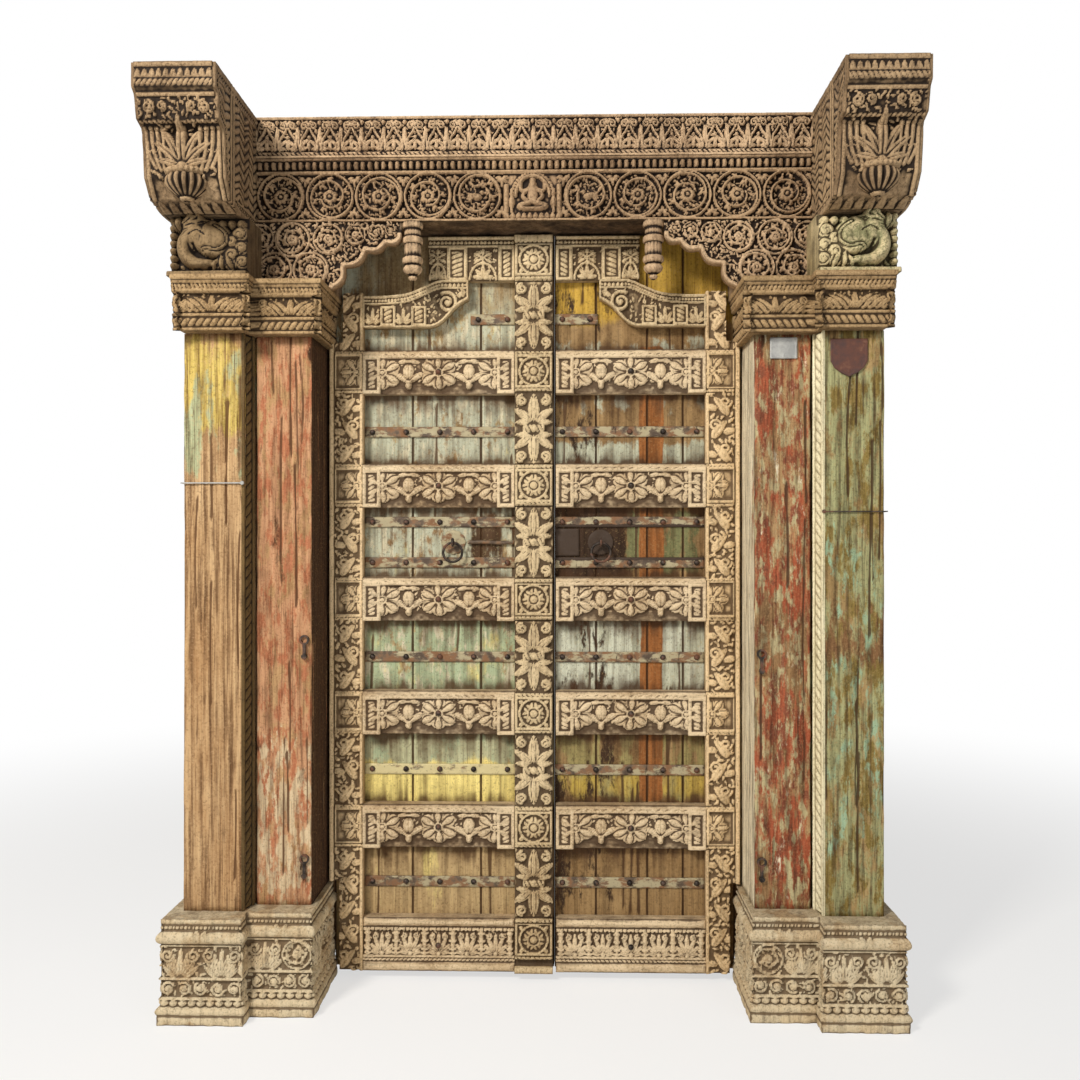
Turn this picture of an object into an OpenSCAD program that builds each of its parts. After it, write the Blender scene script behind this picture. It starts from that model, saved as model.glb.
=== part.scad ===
/* [Doorway] */
// Clear width between the two inner jambs
doorway_w = 1172; // [1060:2:1320]
// Height of the plinths that the jambs stand on
plinth_h = 270; // [220:2:330]
// Height of the plain shafts between plinth and capital
shaft_h = 1520; // [1400:5:1700]
// Height of the capitals
capital_h = 142; // [115:1:180]
// Height of the spandrel zone between capital and lintel
spandrel_h = 183; // [160:1:230]

/* [Jambs] */
// Width of each inner jamb
jamb_w = 154; // [130:1:190]
// Depth of each inner jamb from its face to the wall
jamb_depth = 200; // [170:1:250]
// Width of each outer pilaster
pilaster_w = 180; // [150:1:220]
// How far the outer pilaster stands in front of the inner jamb
pilaster_proud = 50; // [35:1:75]
// Width of the beaded chamfer on the inner corner of the pilaster
bead_chamfer = 14; // [10:1:20]
// Width of the plain chamfer on the doorway corner of the inner jamb
jamb_chamfer = 8; // [4:1:14]

/* [Plinths] */
// How far the plinths stand in front of the shafts
plinth_proud = 55; // [40:1:75]
// How far the plinths stand into the doorway
plinth_in = 16; // [10:1:24]
// How far the plinths stand out past the pilasters
plinth_out = 36; // [24:1:50]
// Height of the foot moulding of the plinths
foot_h = 52; // [40:1:66]
// How far the foot moulding stands out
foot_out = 9; // [5:1:14]

/* [Capitals] */
// How far the capitals stand in front of the shafts
capital_proud = 50; // [36:1:66]
// How far the capitals stand into the doorway
capital_in = 36; // [26:1:46]
// How far the capitals stand out past the pilasters
capital_out = 14; // [8:1:24]
// Height of the top slab of the capitals
abacus_h = 30; // [22:1:38]
// Height of the neck moulding of the capitals
neck_h = 26; // [18:1:34]

/* [Brackets] */
// Height of the lower brackets with the curled beast
lower_bracket_h = 158; // [135:1:190]
// Width of the lower brackets
lower_bracket_w = 190; // [170:1:200]
// How far the lower brackets stand in front of the pilasters
lower_bracket_proud = 58; // [46:1:70]
// Width of the upper brackets
upper_bracket_w = 202; // [180:1:220]
// How far the upper brackets stand in front of the pilasters
upper_bracket_proud = 225; // [200:1:260]
// How far the inner side of the upper bracket lies outside the inner jamb
bracket_inset = 17; // [12:1:24]

/* [Lintel] */
// Height of the lintel with its bead course
lintel_h = 174; // [150:1:200]
// How far the lintel lies behind the face of the inner jambs
lintel_setback = 55; // [40:1:70]
// Height of the bead course on top of the lintel
bead_course_h = 38; // [28:1:46]
// Height of the leaf frieze on top of the lintel
frieze_h = 111; // [95:1:135]
// How far the leaf frieze stands in front of the lintel
frieze_proud = 12; // [6:1:22]
// Width of the figure panel in the middle of the lintel
figure_panel_w = 160; // [140:1:190]
// Thickness of the pierced spandrels
spandrel_t = 60; // [45:1:75]
// Distance of each pendant from the jamb
pendant_reach = 257; // [240:1:280]
// Diameter of the pendants
pendant_d = 58; // [46:1:68]
// Length of the pendants below the lintel
pendant_l = 160; // [130:1:170]
// Depth of the plain timber behind the lintel that holds the top pivots
head_rail_t = 70; // [62:1:90]
// Height of the plain timber behind the lintel
head_rail_h = 96; // [86:1:120]

/* [Leaves] */
// Gap between the leaves and the jambs
leaf_gap = 5; // [4:0.5:8]
// Gap between the carved front of the leaves and the plinths and capitals
notch_gap = 8; // [6:0.5:12]
// Gap under the leaves
floor_gap = 25; // [15:1:35]
// Gap between the carved top rails and the lintel
soffit_gap = 8; // [5:0.5:14]
// Thickness of the planks
plank_t = 40; // [34:1:50]
// Gap between the back of the frame and the planks
rebate_gap = 5; // [3:0.5:8]
// How far the planks reach up behind the lintel
plank_lap = 30; // [20:1:42]
// Width of the open joints between planks
joint_w = 4; // [2:0.5:6]
// Width of the carved hinge stiles
stile_w = 95; // [80:1:110]
// Thickness of the hinge stiles
stile_t = 38; // [32:1:46]
// Width of the meeting bar
bar_w = 108; // [96:1:124]
// Thickness of the meeting bar
bar_t = 52; // [46:1:62]
// Running room at the meeting edge
meeting_room = 1.2; // [0.8:0.1:3]
// Radius of the hinge posts
post_r = 20; // [18:0.5:24]
// Diameter of the pivot pegs on the hinge posts
peg_d = 24; // [18:1:30]
// Length of the pivot pegs
peg_l = 46; // [36:1:56]
// Radial running clearance of the pivot pegs
peg_clear = 0.08; // [0.04:0.01:0.1]

/* [Rails] */
// Height of the carved rails
rail_h = 124; // [105:1:140]
// Thickness of the carved rails
rail_t = 42; // [36:1:50]
// Thickness of the board that the rails are carved from
rail_ground = 18; // [14:1:22]
// Height of the bottom rail
bottom_rail_h = 150; // [135:1:170]
// Width of the roped panel at each end of a rail
rail_end_w = 54; // [44:1:62]
// Length of the top rails
top_rail_l = 246; // [220:1:270]
// Length of the shaped corner pieces
corner_l = 300; // [260:1:320]
// Height of the shaped corner pieces
corner_h = 132; // [115:1:145]

/* [Ironwork] */
// Height of the iron straps
strap_h = 30; // [24:1:38]
// Thickness of the iron straps
strap_t = 4; // [3:0.5:6]
// Diameter of the domed nail heads
nail_d = 17; // [13:0.5:22]
// Outer diameter of the pull rings
ring_d = 62; // [54:1:74]
// Thickness of the pull rings
ring_wire = 8; // [6:0.5:10]
// Thickness of the iron that the ring eyes are bent from
eye_wire = 7; // [5:0.5:9]
// Gap between the rings and their eyes
ring_seat_gap = 0.3; // [0.2:0.1:0.6]
// Diameter of the plates behind the rings
ring_plate_d = 74; // [66:1:84]
// Width of the small tag plate
tag_w = 72; // [60:1:84]
// Width of the shield plate
shield_w = 96; // [80:1:110]

/* [Hidden] */
$fn = 64;

// Depth places, from the front of the upper brackets back to the head rail
total_depth = upper_bracket_proud + pilaster_proud + jamb_depth + head_rail_t;
pilaster_y = upper_bracket_proud - total_depth / 2;
jamb_y = pilaster_y + pilaster_proud;
wall_y = jamb_y + jamb_depth;
lintel_y = jamb_y + lintel_setback;
frieze_y = lintel_y - frieze_proud;
plank_y = wall_y + rebate_gap;
pivot_y = plank_y + plank_t / 2;
rail_y = plank_y - rail_t;

// Heights of the stacked pieces
shaft_z = plinth_h;
capital_z = shaft_z + shaft_h;
spandrel_z = capital_z + capital_h;
lintel_z = spandrel_z + spandrel_h;
frieze_z = lintel_z + lintel_h;
upper_bracket_z = spandrel_z + lower_bracket_h;
upper_bracket_h = frieze_z + frieze_h - upper_bracket_z;

// Widths counted from the middle of the doorway
jamb_x = doorway_w / 2;
pilaster_x = jamb_x + jamb_w;
pilaster_end = pilaster_x + pilaster_w;
bracket_x = pilaster_x + bracket_inset;
pendant_x = jamb_x - pendant_reach;

// Places of the leaves
stile_edge = jamb_x - leaf_gap;
foot_edge = jamb_x - plinth_in - foot_out - notch_gap;
head_edge = jamb_x - capital_in - notch_gap;
pivot_x = stile_edge + post_r + meeting_room;
post_flange = 1.5 * post_r;
plank_edge = pivot_x - post_flange;
rail_edge = stile_edge - stile_w;
bar_edge = bar_w / 2;
bar_radius = pivot_x + bar_edge;
bar_reach = pivot_y - plank_y + bar_t;
meeting_gap = sqrt(pow(bar_radius, 2) + pow(bar_reach, 2)) - bar_radius + meeting_room;
right_edge = bar_edge + meeting_gap;
plank_split = right_edge - meeting_room;
carved_reach = pivot_y - rail_y;
carved_half = pivot_x - right_edge;
carved_edge = right_edge + sqrt(pow(carved_half, 2) + pow(carved_reach, 2)) - carved_half;
leaf_z = floor_gap;
plank_top = lintel_z + plank_lap;
carved_top = lintel_z - soffit_gap;
cup_floor = 20;
cup_wall = 12;
seat_gap = 0.3;
cup_h = peg_l + cup_floor;
post_z = cup_h + seat_gap;
head_rail_z = plank_top + rebate_gap;
bottom_rail_z = leaf_z + bottom_rail_h - rail_h / 2;
top_rail_z = carved_top - rail_h / 2;
rail_count = 5;
rail_pitch = (top_rail_z - bottom_rail_z) / (rail_count + 1);
corner_z = carved_top - rail_h - corner_h;
stile_top = spandrel_z - notch_gap;
function rail_z(k) = top_rail_z - k * rail_pitch;

// The plain strip between two rails, counted from the top, and its middle
function panel_z(k) = rail_z(k) + rail_pitch / 2;
strap_drop = 6;
ring_panel = 3;
ring_panel_strap = 58;
ring_x_left = -bar_edge - 0.41 * (rail_edge - bar_edge);
ring_x_right = right_edge + 0.307 * (rail_edge - right_edge);
eye_hole_r = ring_wire / 2 + 2;
eye_r = eye_hole_r + eye_wire / 2;
eye_reach = 20;
ring_plate_t = 4;
eye_y = plank_y - ring_plate_t - eye_reach;
eye_z = panel_z(ring_panel);
ring_top_z = eye_z - eye_hole_r + ring_wire / 2 + ring_seat_gap;
ring_mean_r = (ring_d - ring_wire) / 2;
nail_dome = 0.45 * nail_d;
nail_shank_d = 6;
nail_hold = 24;

// Small values of the carving
bite = 2;
rope_depth = 8;
lap_gap = 0.3;
bead_r = 7;
bead_pitch = 24;
fillet_h = 9;
relief_low = 6;
relief_mid = 11;
relief_high = 18;

// Colours
old_wood = "#b99d75";
dark_wood = "#7c6146";
red_wood = "#a9644a";
green_wood = "#9a9a72";
plank_paint = "#b9c3ac";
iron = "#4c443e";
pale_metal = "#b4b7b6";

// A flat x-z drawing made into relief that stands in front of the plane y
module relief(y, h) {
    translate([0, y + bite, 0]) rotate([90, 0, 0]) linear_extrude(h + bite) children();
}

// A block from its lowest to its highest corner
module block(a, b) {
    translate(a) cube(b - a);
}

// A pointed leaf that starts at the origin and runs up
module leaf(l, w) {
    r = (l * l + w * w) / (4 * w);
    intersection() {
        translate([r - w / 2, l / 2]) circle(r);
        translate([w / 2 - r, l / 2]) circle(r);
    }
}

// A fan of pointed leaves round a base
module leaf_fan(count, l, w, spread) {
    root = 0.16 * l;
    circle(1.6 * root);
    for (i = [0 : count - 1])
        rotate(spread * (i / (count - 1) - 0.5)) translate([0, root]) leaf(l - root, w);
}

// A flower of round petals
module flower(r, petals) {
    circle(0.5 * r);
    for (i = [0 : petals - 1])
        rotate(i * 360 / petals) translate([0, 0.62 * r]) circle(0.38 * r);
}

// A flat ring
module flat_ring(r, w) {
    difference() {
        circle(r);
        circle(r - w);
    }
}

// Slanted strands of a twisted rope that fills a rectangle
module rope(w, h, strands) {
    step = h / strands;
    lean = 0.8 * step;
    for (i = [0 : strands - 1])
        translate([0, i * step])
            polygon([[0, 0.1 * step], [w, 0.1 * step + lean - step * 0.35],
                     [w, 0.55 * step + lean - step * 0.35], [0, 0.65 * step]]);
}

// A row of round beads along x
module bead_row(x0, x1, y, z, r, pitch) {
    count = max(2, floor((x1 - x0) / pitch));
    step = (x1 - x0) / count;
    for (i = [0 : count - 1])
        translate([x0 + (i + 0.5) * step, y, z]) sphere(r);
}

// A row of hanging leaf tips along x, as a flat drawing
module leaf_row(x0, x1, z, l, pitch) {
    count = max(2, floor((x1 - x0) / pitch));
    step = (x1 - x0) / count;
    for (i = [0 : count - 1])
        translate([x0 + (i + 0.5) * step, z]) leaf(l, 0.8 * step);
}

// A row of vine roundels, each a ring with a flower in it
module vine_row(x0, x1, z, r) {
    count = max(1, floor((x1 - x0) / (2 * r)));
    step = (x1 - x0) / count;
    for (i = [0 : count - 1])
        translate([x0 + (i + 0.5) * step, z]) {
            flat_ring(0.92 * r, 0.24 * r);
            flower(0.48 * r, 6);
            for (turn = [45, 135, 225, 315]) rotate(turn) translate([0, 0.8 * r]) leaf(0.5 * r, 0.26 * r);
        }
}

// Plinth of the right side: a tall outer block and an inner block
module plinth_form() {
    in_x = jamb_x - plinth_in;
    out_x = pilaster_end + plinth_out;
    outer_y = pilaster_y - plinth_proud;
    inner_y = jamb_y - plinth_proud;
    band = plinth_h - foot_h;
    outer_mid = (pilaster_x + out_x) / 2;
    inner_mid = (in_x + pilaster_x) / 2;
    linear_extrude(plinth_h) plinth_plan(0);
    linear_extrude(foot_h) plinth_plan(foot_out);
    translate([0, 0, plinth_h - 2.6 * fillet_h]) linear_extrude(1.4 * fillet_h) plinth_plan(relief_low);
    plinth_bands(pilaster_x, out_x, outer_y);
    plinth_bands(in_x, pilaster_x - 2 * foot_out, inner_y);
    relief(outer_y, relief_mid) translate([outer_mid, foot_h + 0.3 * band]) {
        leaf_fan(5, 0.4 * band, 0.17 * band, 150);
        for (side = [-1, 1]) translate([side * 0.34 * (out_x - pilaster_x), 0.05 * band])
            flat_ring(0.15 * band, 0.06 * band);
    }
    relief(inner_y, relief_mid) for (row = [0.3, 0.62])
        translate([inner_mid, foot_h + row * band]) {
            flat_ring(0.13 * band, 0.04 * band);
            flower(0.07 * band, 6);
        }
}

// Plan of the right plinth, grown by an overhang on its three free sides
module plinth_plan(grow) {
    in_x = jamb_x - plinth_in - grow;
    mid_x = pilaster_x - grow;
    out_x = pilaster_end + plinth_out + grow;
    outer_y = pilaster_y - plinth_proud - grow;
    inner_y = jamb_y - plinth_proud - grow;
    polygon([[in_x, inner_y], [mid_x, inner_y], [mid_x, outer_y], [out_x, outer_y],
             [out_x, wall_y], [in_x, wall_y]]);
}

// Mouldings across the front of one plinth block
module plinth_bands(x0, x1, y) {
    relief(y, relief_low) {
        leaf_row(x0, x1, foot_h + 0.5 * fillet_h, 2.2 * fillet_h, 3 * fillet_h);
        leaf_row(x0, x1, plinth_h - 4.7 * fillet_h, 1.9 * fillet_h, 3 * fillet_h);
    }
    bead_row(x0, x1, y - foot_out, foot_h / 2, bead_r, bead_pitch);
}

// Outer pilaster of the right side, with beads along its chamfered corner
module pilaster_form() {
    translate([0, 0, shaft_z]) linear_extrude(shaft_h)
        polygon([[pilaster_x, wall_y], [pilaster_end, wall_y], [pilaster_end, pilaster_y],
                 [pilaster_x + bead_chamfer, pilaster_y], [pilaster_x, jamb_y]]);
    count = floor(shaft_h / (2 * bead_pitch));
    step = shaft_h / count;
    for (i = [0 : count - 1])
        translate([pilaster_x + bead_chamfer / 2, (pilaster_y + jamb_y) / 2, shaft_z + (i + 0.5) * step])
            sphere(bead_r);
}

// Inner jamb of the right side
module jamb_form() {
    translate([0, 0, shaft_z]) linear_extrude(shaft_h)
        polygon([[jamb_x, wall_y], [pilaster_x, wall_y], [pilaster_x, jamb_y],
                 [jamb_x + jamb_chamfer, jamb_y], [jamb_x, jamb_y + jamb_chamfer]]);
}

// Capital of the right side
module capital_form() {
    in_x = jamb_x - capital_in;
    out_x = pilaster_end + capital_out;
    outer_y = pilaster_y - capital_proud;
    inner_y = jamb_y - capital_proud;
    slab_z = spandrel_z - abacus_h;
    neck_z = capital_z + neck_h;
    neck_back = 0.5 * capital_proud;
    neck_in = 0.5 * capital_in;
    block([pilaster_x, outer_y + relief_low, neck_z], [out_x - relief_low, wall_y, slab_z]);
    block([in_x + relief_low, inner_y + relief_low, neck_z], [pilaster_x + bite, wall_y, slab_z]);
    block([pilaster_x - relief_low, outer_y, slab_z], [out_x, wall_y, spandrel_z]);
    block([in_x, inner_y, slab_z], [pilaster_x, wall_y, spandrel_z]);
    block([pilaster_x, outer_y + neck_back, capital_z], [out_x - capital_out / 2, wall_y, neck_z]);
    block([in_x + neck_in, inner_y + neck_back, capital_z], [pilaster_x + bite, wall_y, neck_z]);
    capital_leaves(pilaster_x, out_x - relief_low, outer_y + relief_low, neck_z, slab_z);
    capital_leaves(in_x + relief_low, pilaster_x - relief_low, inner_y + relief_low, neck_z, slab_z);
    bead_row(pilaster_x, out_x, outer_y, spandrel_z - abacus_h / 2, 0.8 * bead_r, bead_pitch);
    bead_row(in_x, pilaster_x - 2 * relief_low, inner_y, spandrel_z - abacus_h / 2, 0.8 * bead_r, bead_pitch);
}

// Curling leaves on the frieze of a capital
module capital_leaves(x0, x1, y, z0, z1) {
    band = z1 - z0;
    relief(y, relief_mid) {
        translate([(x0 + x1) / 2, z0]) leaf_fan(5, 0.9 * band, 0.3 * band, 110);
        for (side = [-1, 1]) translate([(x0 + x1) / 2 + side * 0.32 * (x1 - x0), z0 + band / 2])
            flat_ring(0.4 * band, 0.15 * band);
    }
}

// Lower bracket of the right side: a curled beast's head in front of a block
module lower_bracket_form() {
    x0 = bracket_x;
    x1 = x0 + lower_bracket_w;
    curl_x = pilaster_x;
    mid = (curl_x + x1) / 2;
    front = pilaster_y - lower_bracket_proud;
    z0 = spandrel_z;
    z1 = upper_bracket_z;
    curl_r = 0.36 * lower_bracket_h;
    curl_z = z0 + 0.48 * lower_bracket_h;
    curl_y = front + curl_r + relief_low;
    ear_z = curl_z + 0.6 * curl_r;
    lip_y = curl_y - 0.7 * curl_r;
    toe_y = curl_y - 0.5 * curl_r;
    translate([x0, 0, 0]) rotate([90, 0, 90]) linear_extrude(lower_bracket_w)
        polygon([[wall_y, z0], [wall_y, z1], [lip_y, z1], [lip_y, z1 - fillet_h],
                 [curl_y, z1 - 2 * fillet_h], [curl_y, z0 + fillet_h],
                 [toe_y, z0 + 0.5 * fillet_h], [toe_y, z0]]);
    translate([mid, curl_y, curl_z]) rotate([0, 90, 0])
        cylinder(r = curl_r, h = x1 - curl_x, center = true);
    translate([mid, curl_y, curl_z]) rotate([0, 90, 0])
        cylinder(r = curl_r + relief_low, h = 0.3 * (x1 - curl_x), center = true);
    for (side = [-1, 1]) translate([mid + side * 0.3 * lower_bracket_w, curl_y - 0.6 * curl_r, ear_z])
        sphere(2 * bead_r);
}

// Upper bracket of the right side: stepped sides, a leaf spray and a pot in front
module upper_bracket_form() {
    x0 = bracket_x;
    x1 = x0 + upper_bracket_w;
    mid = (x0 + x1) / 2;
    z0 = upper_bracket_z;
    z1 = z0 + upper_bracket_h;
    top_y = pilaster_y - upper_bracket_proud + bead_r;
    slab_h = 0.12 * upper_bracket_h;
    rope_h = 0.07 * upper_bracket_h;
    waist_y = top_y + 0.35 * upper_bracket_proud;
    waist_z = z1 - 0.5 * upper_bracket_h;
    foot_y = top_y + 0.5 * upper_bracket_proud;
    step_in = 0.06 * upper_bracket_w;
    pot_r = 0.22 * upper_bracket_w;
    pot_h = 0.26 * upper_bracket_h;
    translate([x0, 0, 0]) rotate([90, 0, 90]) linear_extrude(upper_bracket_w)
        polygon([[wall_y, z0], [wall_y, z1], [top_y, z1], [top_y, z1 - slab_h],
                 [top_y + relief_mid, z1 - slab_h], [top_y + relief_mid, z1 - slab_h - rope_h],
                 [top_y + relief_low, z1 - slab_h - rope_h],
                 [top_y + relief_low, z1 - slab_h - 2 * rope_h], [waist_y, waist_z], [foot_y, z0 + slab_h],
                 [foot_y + 2 * slab_h, z0]]);
    for (i = [1 : 3])
        block([x0 + i * step_in, waist_y - i * step_in, z0 + slab_h + i * fillet_h],
              [x1 - i * step_in, jamb_y - i * step_in, waist_z + (4 - i) * fillet_h]);
    bead_row(x0, x1, top_y, z1 - slab_h / 2, bead_r, bead_pitch);
    relief(waist_y, 2 * relief_high) translate([mid, waist_z - 2 * fillet_h])
        leaf_fan(7, 0.34 * upper_bracket_h, 0.15 * upper_bracket_w, 160);
    translate([mid, waist_y - 3 * step_in, z0 + 0.2 * upper_bracket_h]) rotate_extrude()
        polygon([[0, 0], [0.35 * pot_r, 0], [0.95 * pot_r, 0.3 * pot_h], [pot_r, 0.6 * pot_h],
                 [0.7 * pot_r, 0.8 * pot_h], [0.9 * pot_r, 0.9 * pot_h], [0.9 * pot_r, pot_h], [0, pot_h]]);
}

// Leaf frieze across the top, between the upper brackets
module frieze_form() {
    motif = 62;
    band = frieze_h - 4 * fillet_h;
    count = floor(2 * bracket_x / motif);
    step = 2 * bracket_x / count;
    block([-bracket_x, frieze_y + relief_mid, frieze_z], [bracket_x, wall_y, frieze_z + frieze_h]);
    relief(frieze_y + relief_mid, relief_mid) {
        translate([-bracket_x, frieze_z]) square([2 * bracket_x, 2 * fillet_h]);
        translate([-bracket_x, frieze_z + frieze_h - 2 * fillet_h]) square([2 * bracket_x, 2 * fillet_h]);
    }
    relief(frieze_y + relief_mid, relief_low)
        for (i = [0 : count - 1]) translate([(i + 0.5) * step - bracket_x, frieze_z + 1.6 * fillet_h]) {
            leaf(band + 1.2 * fillet_h, 0.36 * step);
            for (side = [-1, 1]) rotate(side * 28) leaf(0.7 * band, 0.2 * step);
        }
}

// Scroll lintel with its bead course and the panel with a seated figure
module lintel_form() {
    course_z = frieze_z - bead_course_h;
    band = lintel_h - bead_course_h - 2 * fillet_h;
    panel = figure_panel_w / 2;
    roundel_r = band / 2;
    mid_z = lintel_z + fillet_h + band / 2;
    block([-bracket_x, lintel_y + relief_high, lintel_z], [bracket_x, wall_y, frieze_z]);
    block([-bracket_x, lintel_y, course_z], [bracket_x, wall_y, course_z + fillet_h]);
    block([-bracket_x, lintel_y, lintel_z], [bracket_x, wall_y, lintel_z + fillet_h]);
    bead_row(-bracket_x, bracket_x, lintel_y + relief_high, course_z + 0.62 * bead_course_h,
             1.3 * bead_r, 1.4 * bead_pitch);
    relief(lintel_y + relief_high, relief_high) {
        vine_row(-bracket_x, -panel - fillet_h, mid_z, roundel_r);
        vine_row(panel + fillet_h, bracket_x, mid_z, roundel_r);
    }
    relief(lintel_y + relief_high, relief_high + relief_low) for (side = [-1, 1])
        translate([side * panel - fillet_h, lintel_z]) square([2 * fillet_h, band + 2 * fillet_h]);
    seated_figure(mid_z, band, lintel_y + relief_high);
}

// A calm seated figure with four arms in a round arch
module seated_figure(mid_z, band, y) {
    head_r = 0.1 * band;
    knee_r = 0.11 * band;
    arm_r = 0.05 * band;
    lap_z = mid_z - 0.3 * band;
    relief(y, relief_low) leaf_row(-0.5 * band, 0.5 * band, lap_z - 0.16 * band, 0.2 * band, 0.2 * band);
    relief(y, relief_mid) translate([0, mid_z + 0.08 * band]) flat_ring(0.36 * band, 0.07 * band);
    translate([0, y, mid_z + 0.2 * band]) sphere(head_r);
    translate([0, y, lap_z]) cylinder(r1 = 1.5 * head_r, r2 = 1.1 * head_r, h = 0.43 * band);
    for (side = [-1, 1]) {
        translate([side * 2.3 * head_r, y, lap_z + 0.4 * knee_r]) sphere(knee_r);
        translate([0, y, lap_z + 0.35 * knee_r]) rotate([0, side * 90, 0])
            cylinder(r = 0.9 * knee_r, h = 2.3 * head_r);
        for (lift = [55, 125]) translate([side * 0.6 * head_r, y, mid_z + 0.04 * band])
            rotate([0, side * lift, 0]) cylinder(r = arm_r, h = 0.3 * band);
    }
}

// Pierced spandrel of the right side with its lobed lower edge
module spandrel_form() {
    x1 = bracket_x;
    x0 = jamb_x - capital_in;
    tip_x = pendant_x + pendant_d / 2;
    reach = x0 - tip_x;
    lobe_r = 0.3 * reach;
    z0 = spandrel_z;
    z1 = lintel_z;
    back_y = lintel_y + spandrel_t - frieze_proud;
    block([x0, frieze_y + relief_high, z0], [x1, wall_y, z1]);
    translate([0, back_y, 0]) rotate([90, 0, 0]) linear_extrude(back_y - frieze_y - relief_high)
        spandrel_outline(x0, tip_x, z0, z1, lobe_r);
    relief(frieze_y + relief_high, relief_high) {
        vine_row(x0, x1, z0 + 0.28 * (z1 - z0), 0.24 * (z1 - z0));
        vine_row(x0 - 0.3 * reach, x1, z0 + 0.76 * (z1 - z0), 0.24 * (z1 - z0));
    }
    relief(frieze_y + relief_high, relief_low) difference() {
        spandrel_outline(x0, tip_x, z0, z1, lobe_r);
        translate([2 * fillet_h, 0.6 * fillet_h])
            spandrel_outline(x0 + bite, tip_x, z0, z1 + fillet_h, lobe_r);
    }
}

// Outline of the arm of a spandrel, with three round lobes below it
module spandrel_outline(x0, tip_x, z0, z1, lobe_r) {
    reach = x0 - tip_x;
    rise = z1 - z0;
    difference() {
        translate([tip_x, z0]) square([reach + bite, rise]);
        translate([x0 - 0.28 * reach, z0 - 0.55 * lobe_r]) circle(lobe_r);
        translate([x0 - 0.66 * reach, z0 + 0.1 * rise]) circle(1.2 * lobe_r);
        translate([tip_x, z0 + 0.36 * rise]) circle(1.3 * lobe_r);
        translate([tip_x - bite, z0 - bite]) square([0.74 * reach, 0.3 * rise]);
    }
}

// Turned pendant of the right side
module pendant_form() {
    r = pendant_d / 2;
    l = pendant_l;
    translate([pendant_x, frieze_y + spandrel_t / 2, lintel_z - l]) rotate_extrude()
        polygon([[0, 0], [0.3 * r, 0.03 * l], [0.5 * r, 0.1 * l], [0.35 * r, 0.17 * l], [0.85 * r, 0.22 * l],
                 [0.85 * r, 0.3 * l], [0.6 * r, 0.34 * l], [r, 0.4 * l], [r, 0.52 * l], [0.82 * r, 0.56 * l],
                 [0.82 * r, 0.66 * l], [r, 0.7 * l], [r, 0.82 * l], [0.7 * r, 0.88 * l], [0.9 * r, 0.94 * l],
                 [0.9 * r, l], [0, l]]);
}

// Plain timber behind the lintel, with a socket for each top pivot peg
module head_rail() {
    half = pivot_x + 2 * post_r;
    color(dark_wood) difference() {
        block([-half, wall_y, head_rail_z], [half, wall_y + head_rail_t, head_rail_z + head_rail_h]);
        for (side = [-1, 1]) translate([side * pivot_x, pivot_y, head_rail_z - bite])
            cylinder(d = peg_d + 2 * peg_clear, h = peg_l + 2 * bite);
    }
}

// Iron cup on the floor behind the right plinth, for the bottom pivot peg
module pivot_cup_form() {
    cup_r = peg_d / 2 + cup_wall;
    translate([pivot_x, pivot_y, 0]) difference() {
        union() {
            cylinder(r = cup_r, h = cup_h);
            block([-cup_r, wall_y - pivot_y, 0], [cup_r, 0, cup_h]);
        }
        translate([0, 0, cup_h - peg_l]) cylinder(d = peg_d + 2 * peg_clear, h = peg_l + bite);
    }
}

// Small metal tag on the right inner jamb, with a nail in each end
module tag_plate() {
    tag_h = 56;
    tag_t = 2;
    pin_r = 2.5;
    mid_x = jamb_x + 0.52 * jamb_w;
    mid_z = capital_z - 36;
    color(pale_metal) {
        block([mid_x - tag_w / 2, jamb_y - tag_t, mid_z - tag_h / 2],
              [mid_x + tag_w / 2, jamb_y, mid_z + tag_h / 2]);
        for (side = [-1, 1]) translate([mid_x + side * 0.42 * tag_w, jamb_y - tag_t, mid_z + 0.38 * tag_h])
            rotate([90, 0, 0]) cylinder(r = pin_r, h = tag_t);
    }
}

// Shield-shaped plate on the right outer pilaster
module shield_plate() {
    shield_t = 3;
    shield_h = 1.05 * shield_w;
    left_x = pilaster_x + bead_chamfer + 22;
    top_z = capital_z - 22;
    color("#5c3a2c") translate([left_x + shield_w / 2, pilaster_y, top_z]) rotate([90, 0, 0])
        linear_extrude(shield_t) {
            translate([-shield_w / 2, -0.55 * shield_h]) square([shield_w, 0.55 * shield_h]);
            intersection() {
                translate([0, -0.5 * shield_h]) circle(shield_w / 2);
                translate([-shield_w / 2, -shield_h]) square([shield_w, 0.55 * shield_h]);
            }
        }
}

// Wire tied across the front of a pilaster and round its outer corner, on a nail
module wire_form(z) {
    wire = 3;
    wrap = 60;
    knob_r = 5;
    in_x = pilaster_x + bead_chamfer + knob_r;
    block([in_x, pilaster_y - wire, z], [pilaster_end + wire, pilaster_y, z + wire]);
    block([pilaster_end, pilaster_y - wire, z], [pilaster_end + wire, pilaster_y + wrap, z + wire]);
    translate([in_x, pilaster_y, z + wire / 2]) rotate([90, 0, 0]) cylinder(r = knob_r, h = 2 * wire);
}

// Two iron eyes on the face of the right inner jamb, near the doorway corner
module jamb_eyes_form(heights) {
    eye_x = jamb_x + jamb_chamfer + 14;
    iron_t = 6;
    for (z = heights) translate([eye_x, jamb_y, z]) {
        rotate([90, 0, 0]) linear_extrude(iron_t) {
            translate([0, 18]) flat_ring(13, 5);
            translate([-4, -34]) square([8, 42]);
        }
        translate([0, 0, -26]) rotate([90, 0, 0]) cylinder(r = 7, h = iron_t + 4);
    }
}

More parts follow.
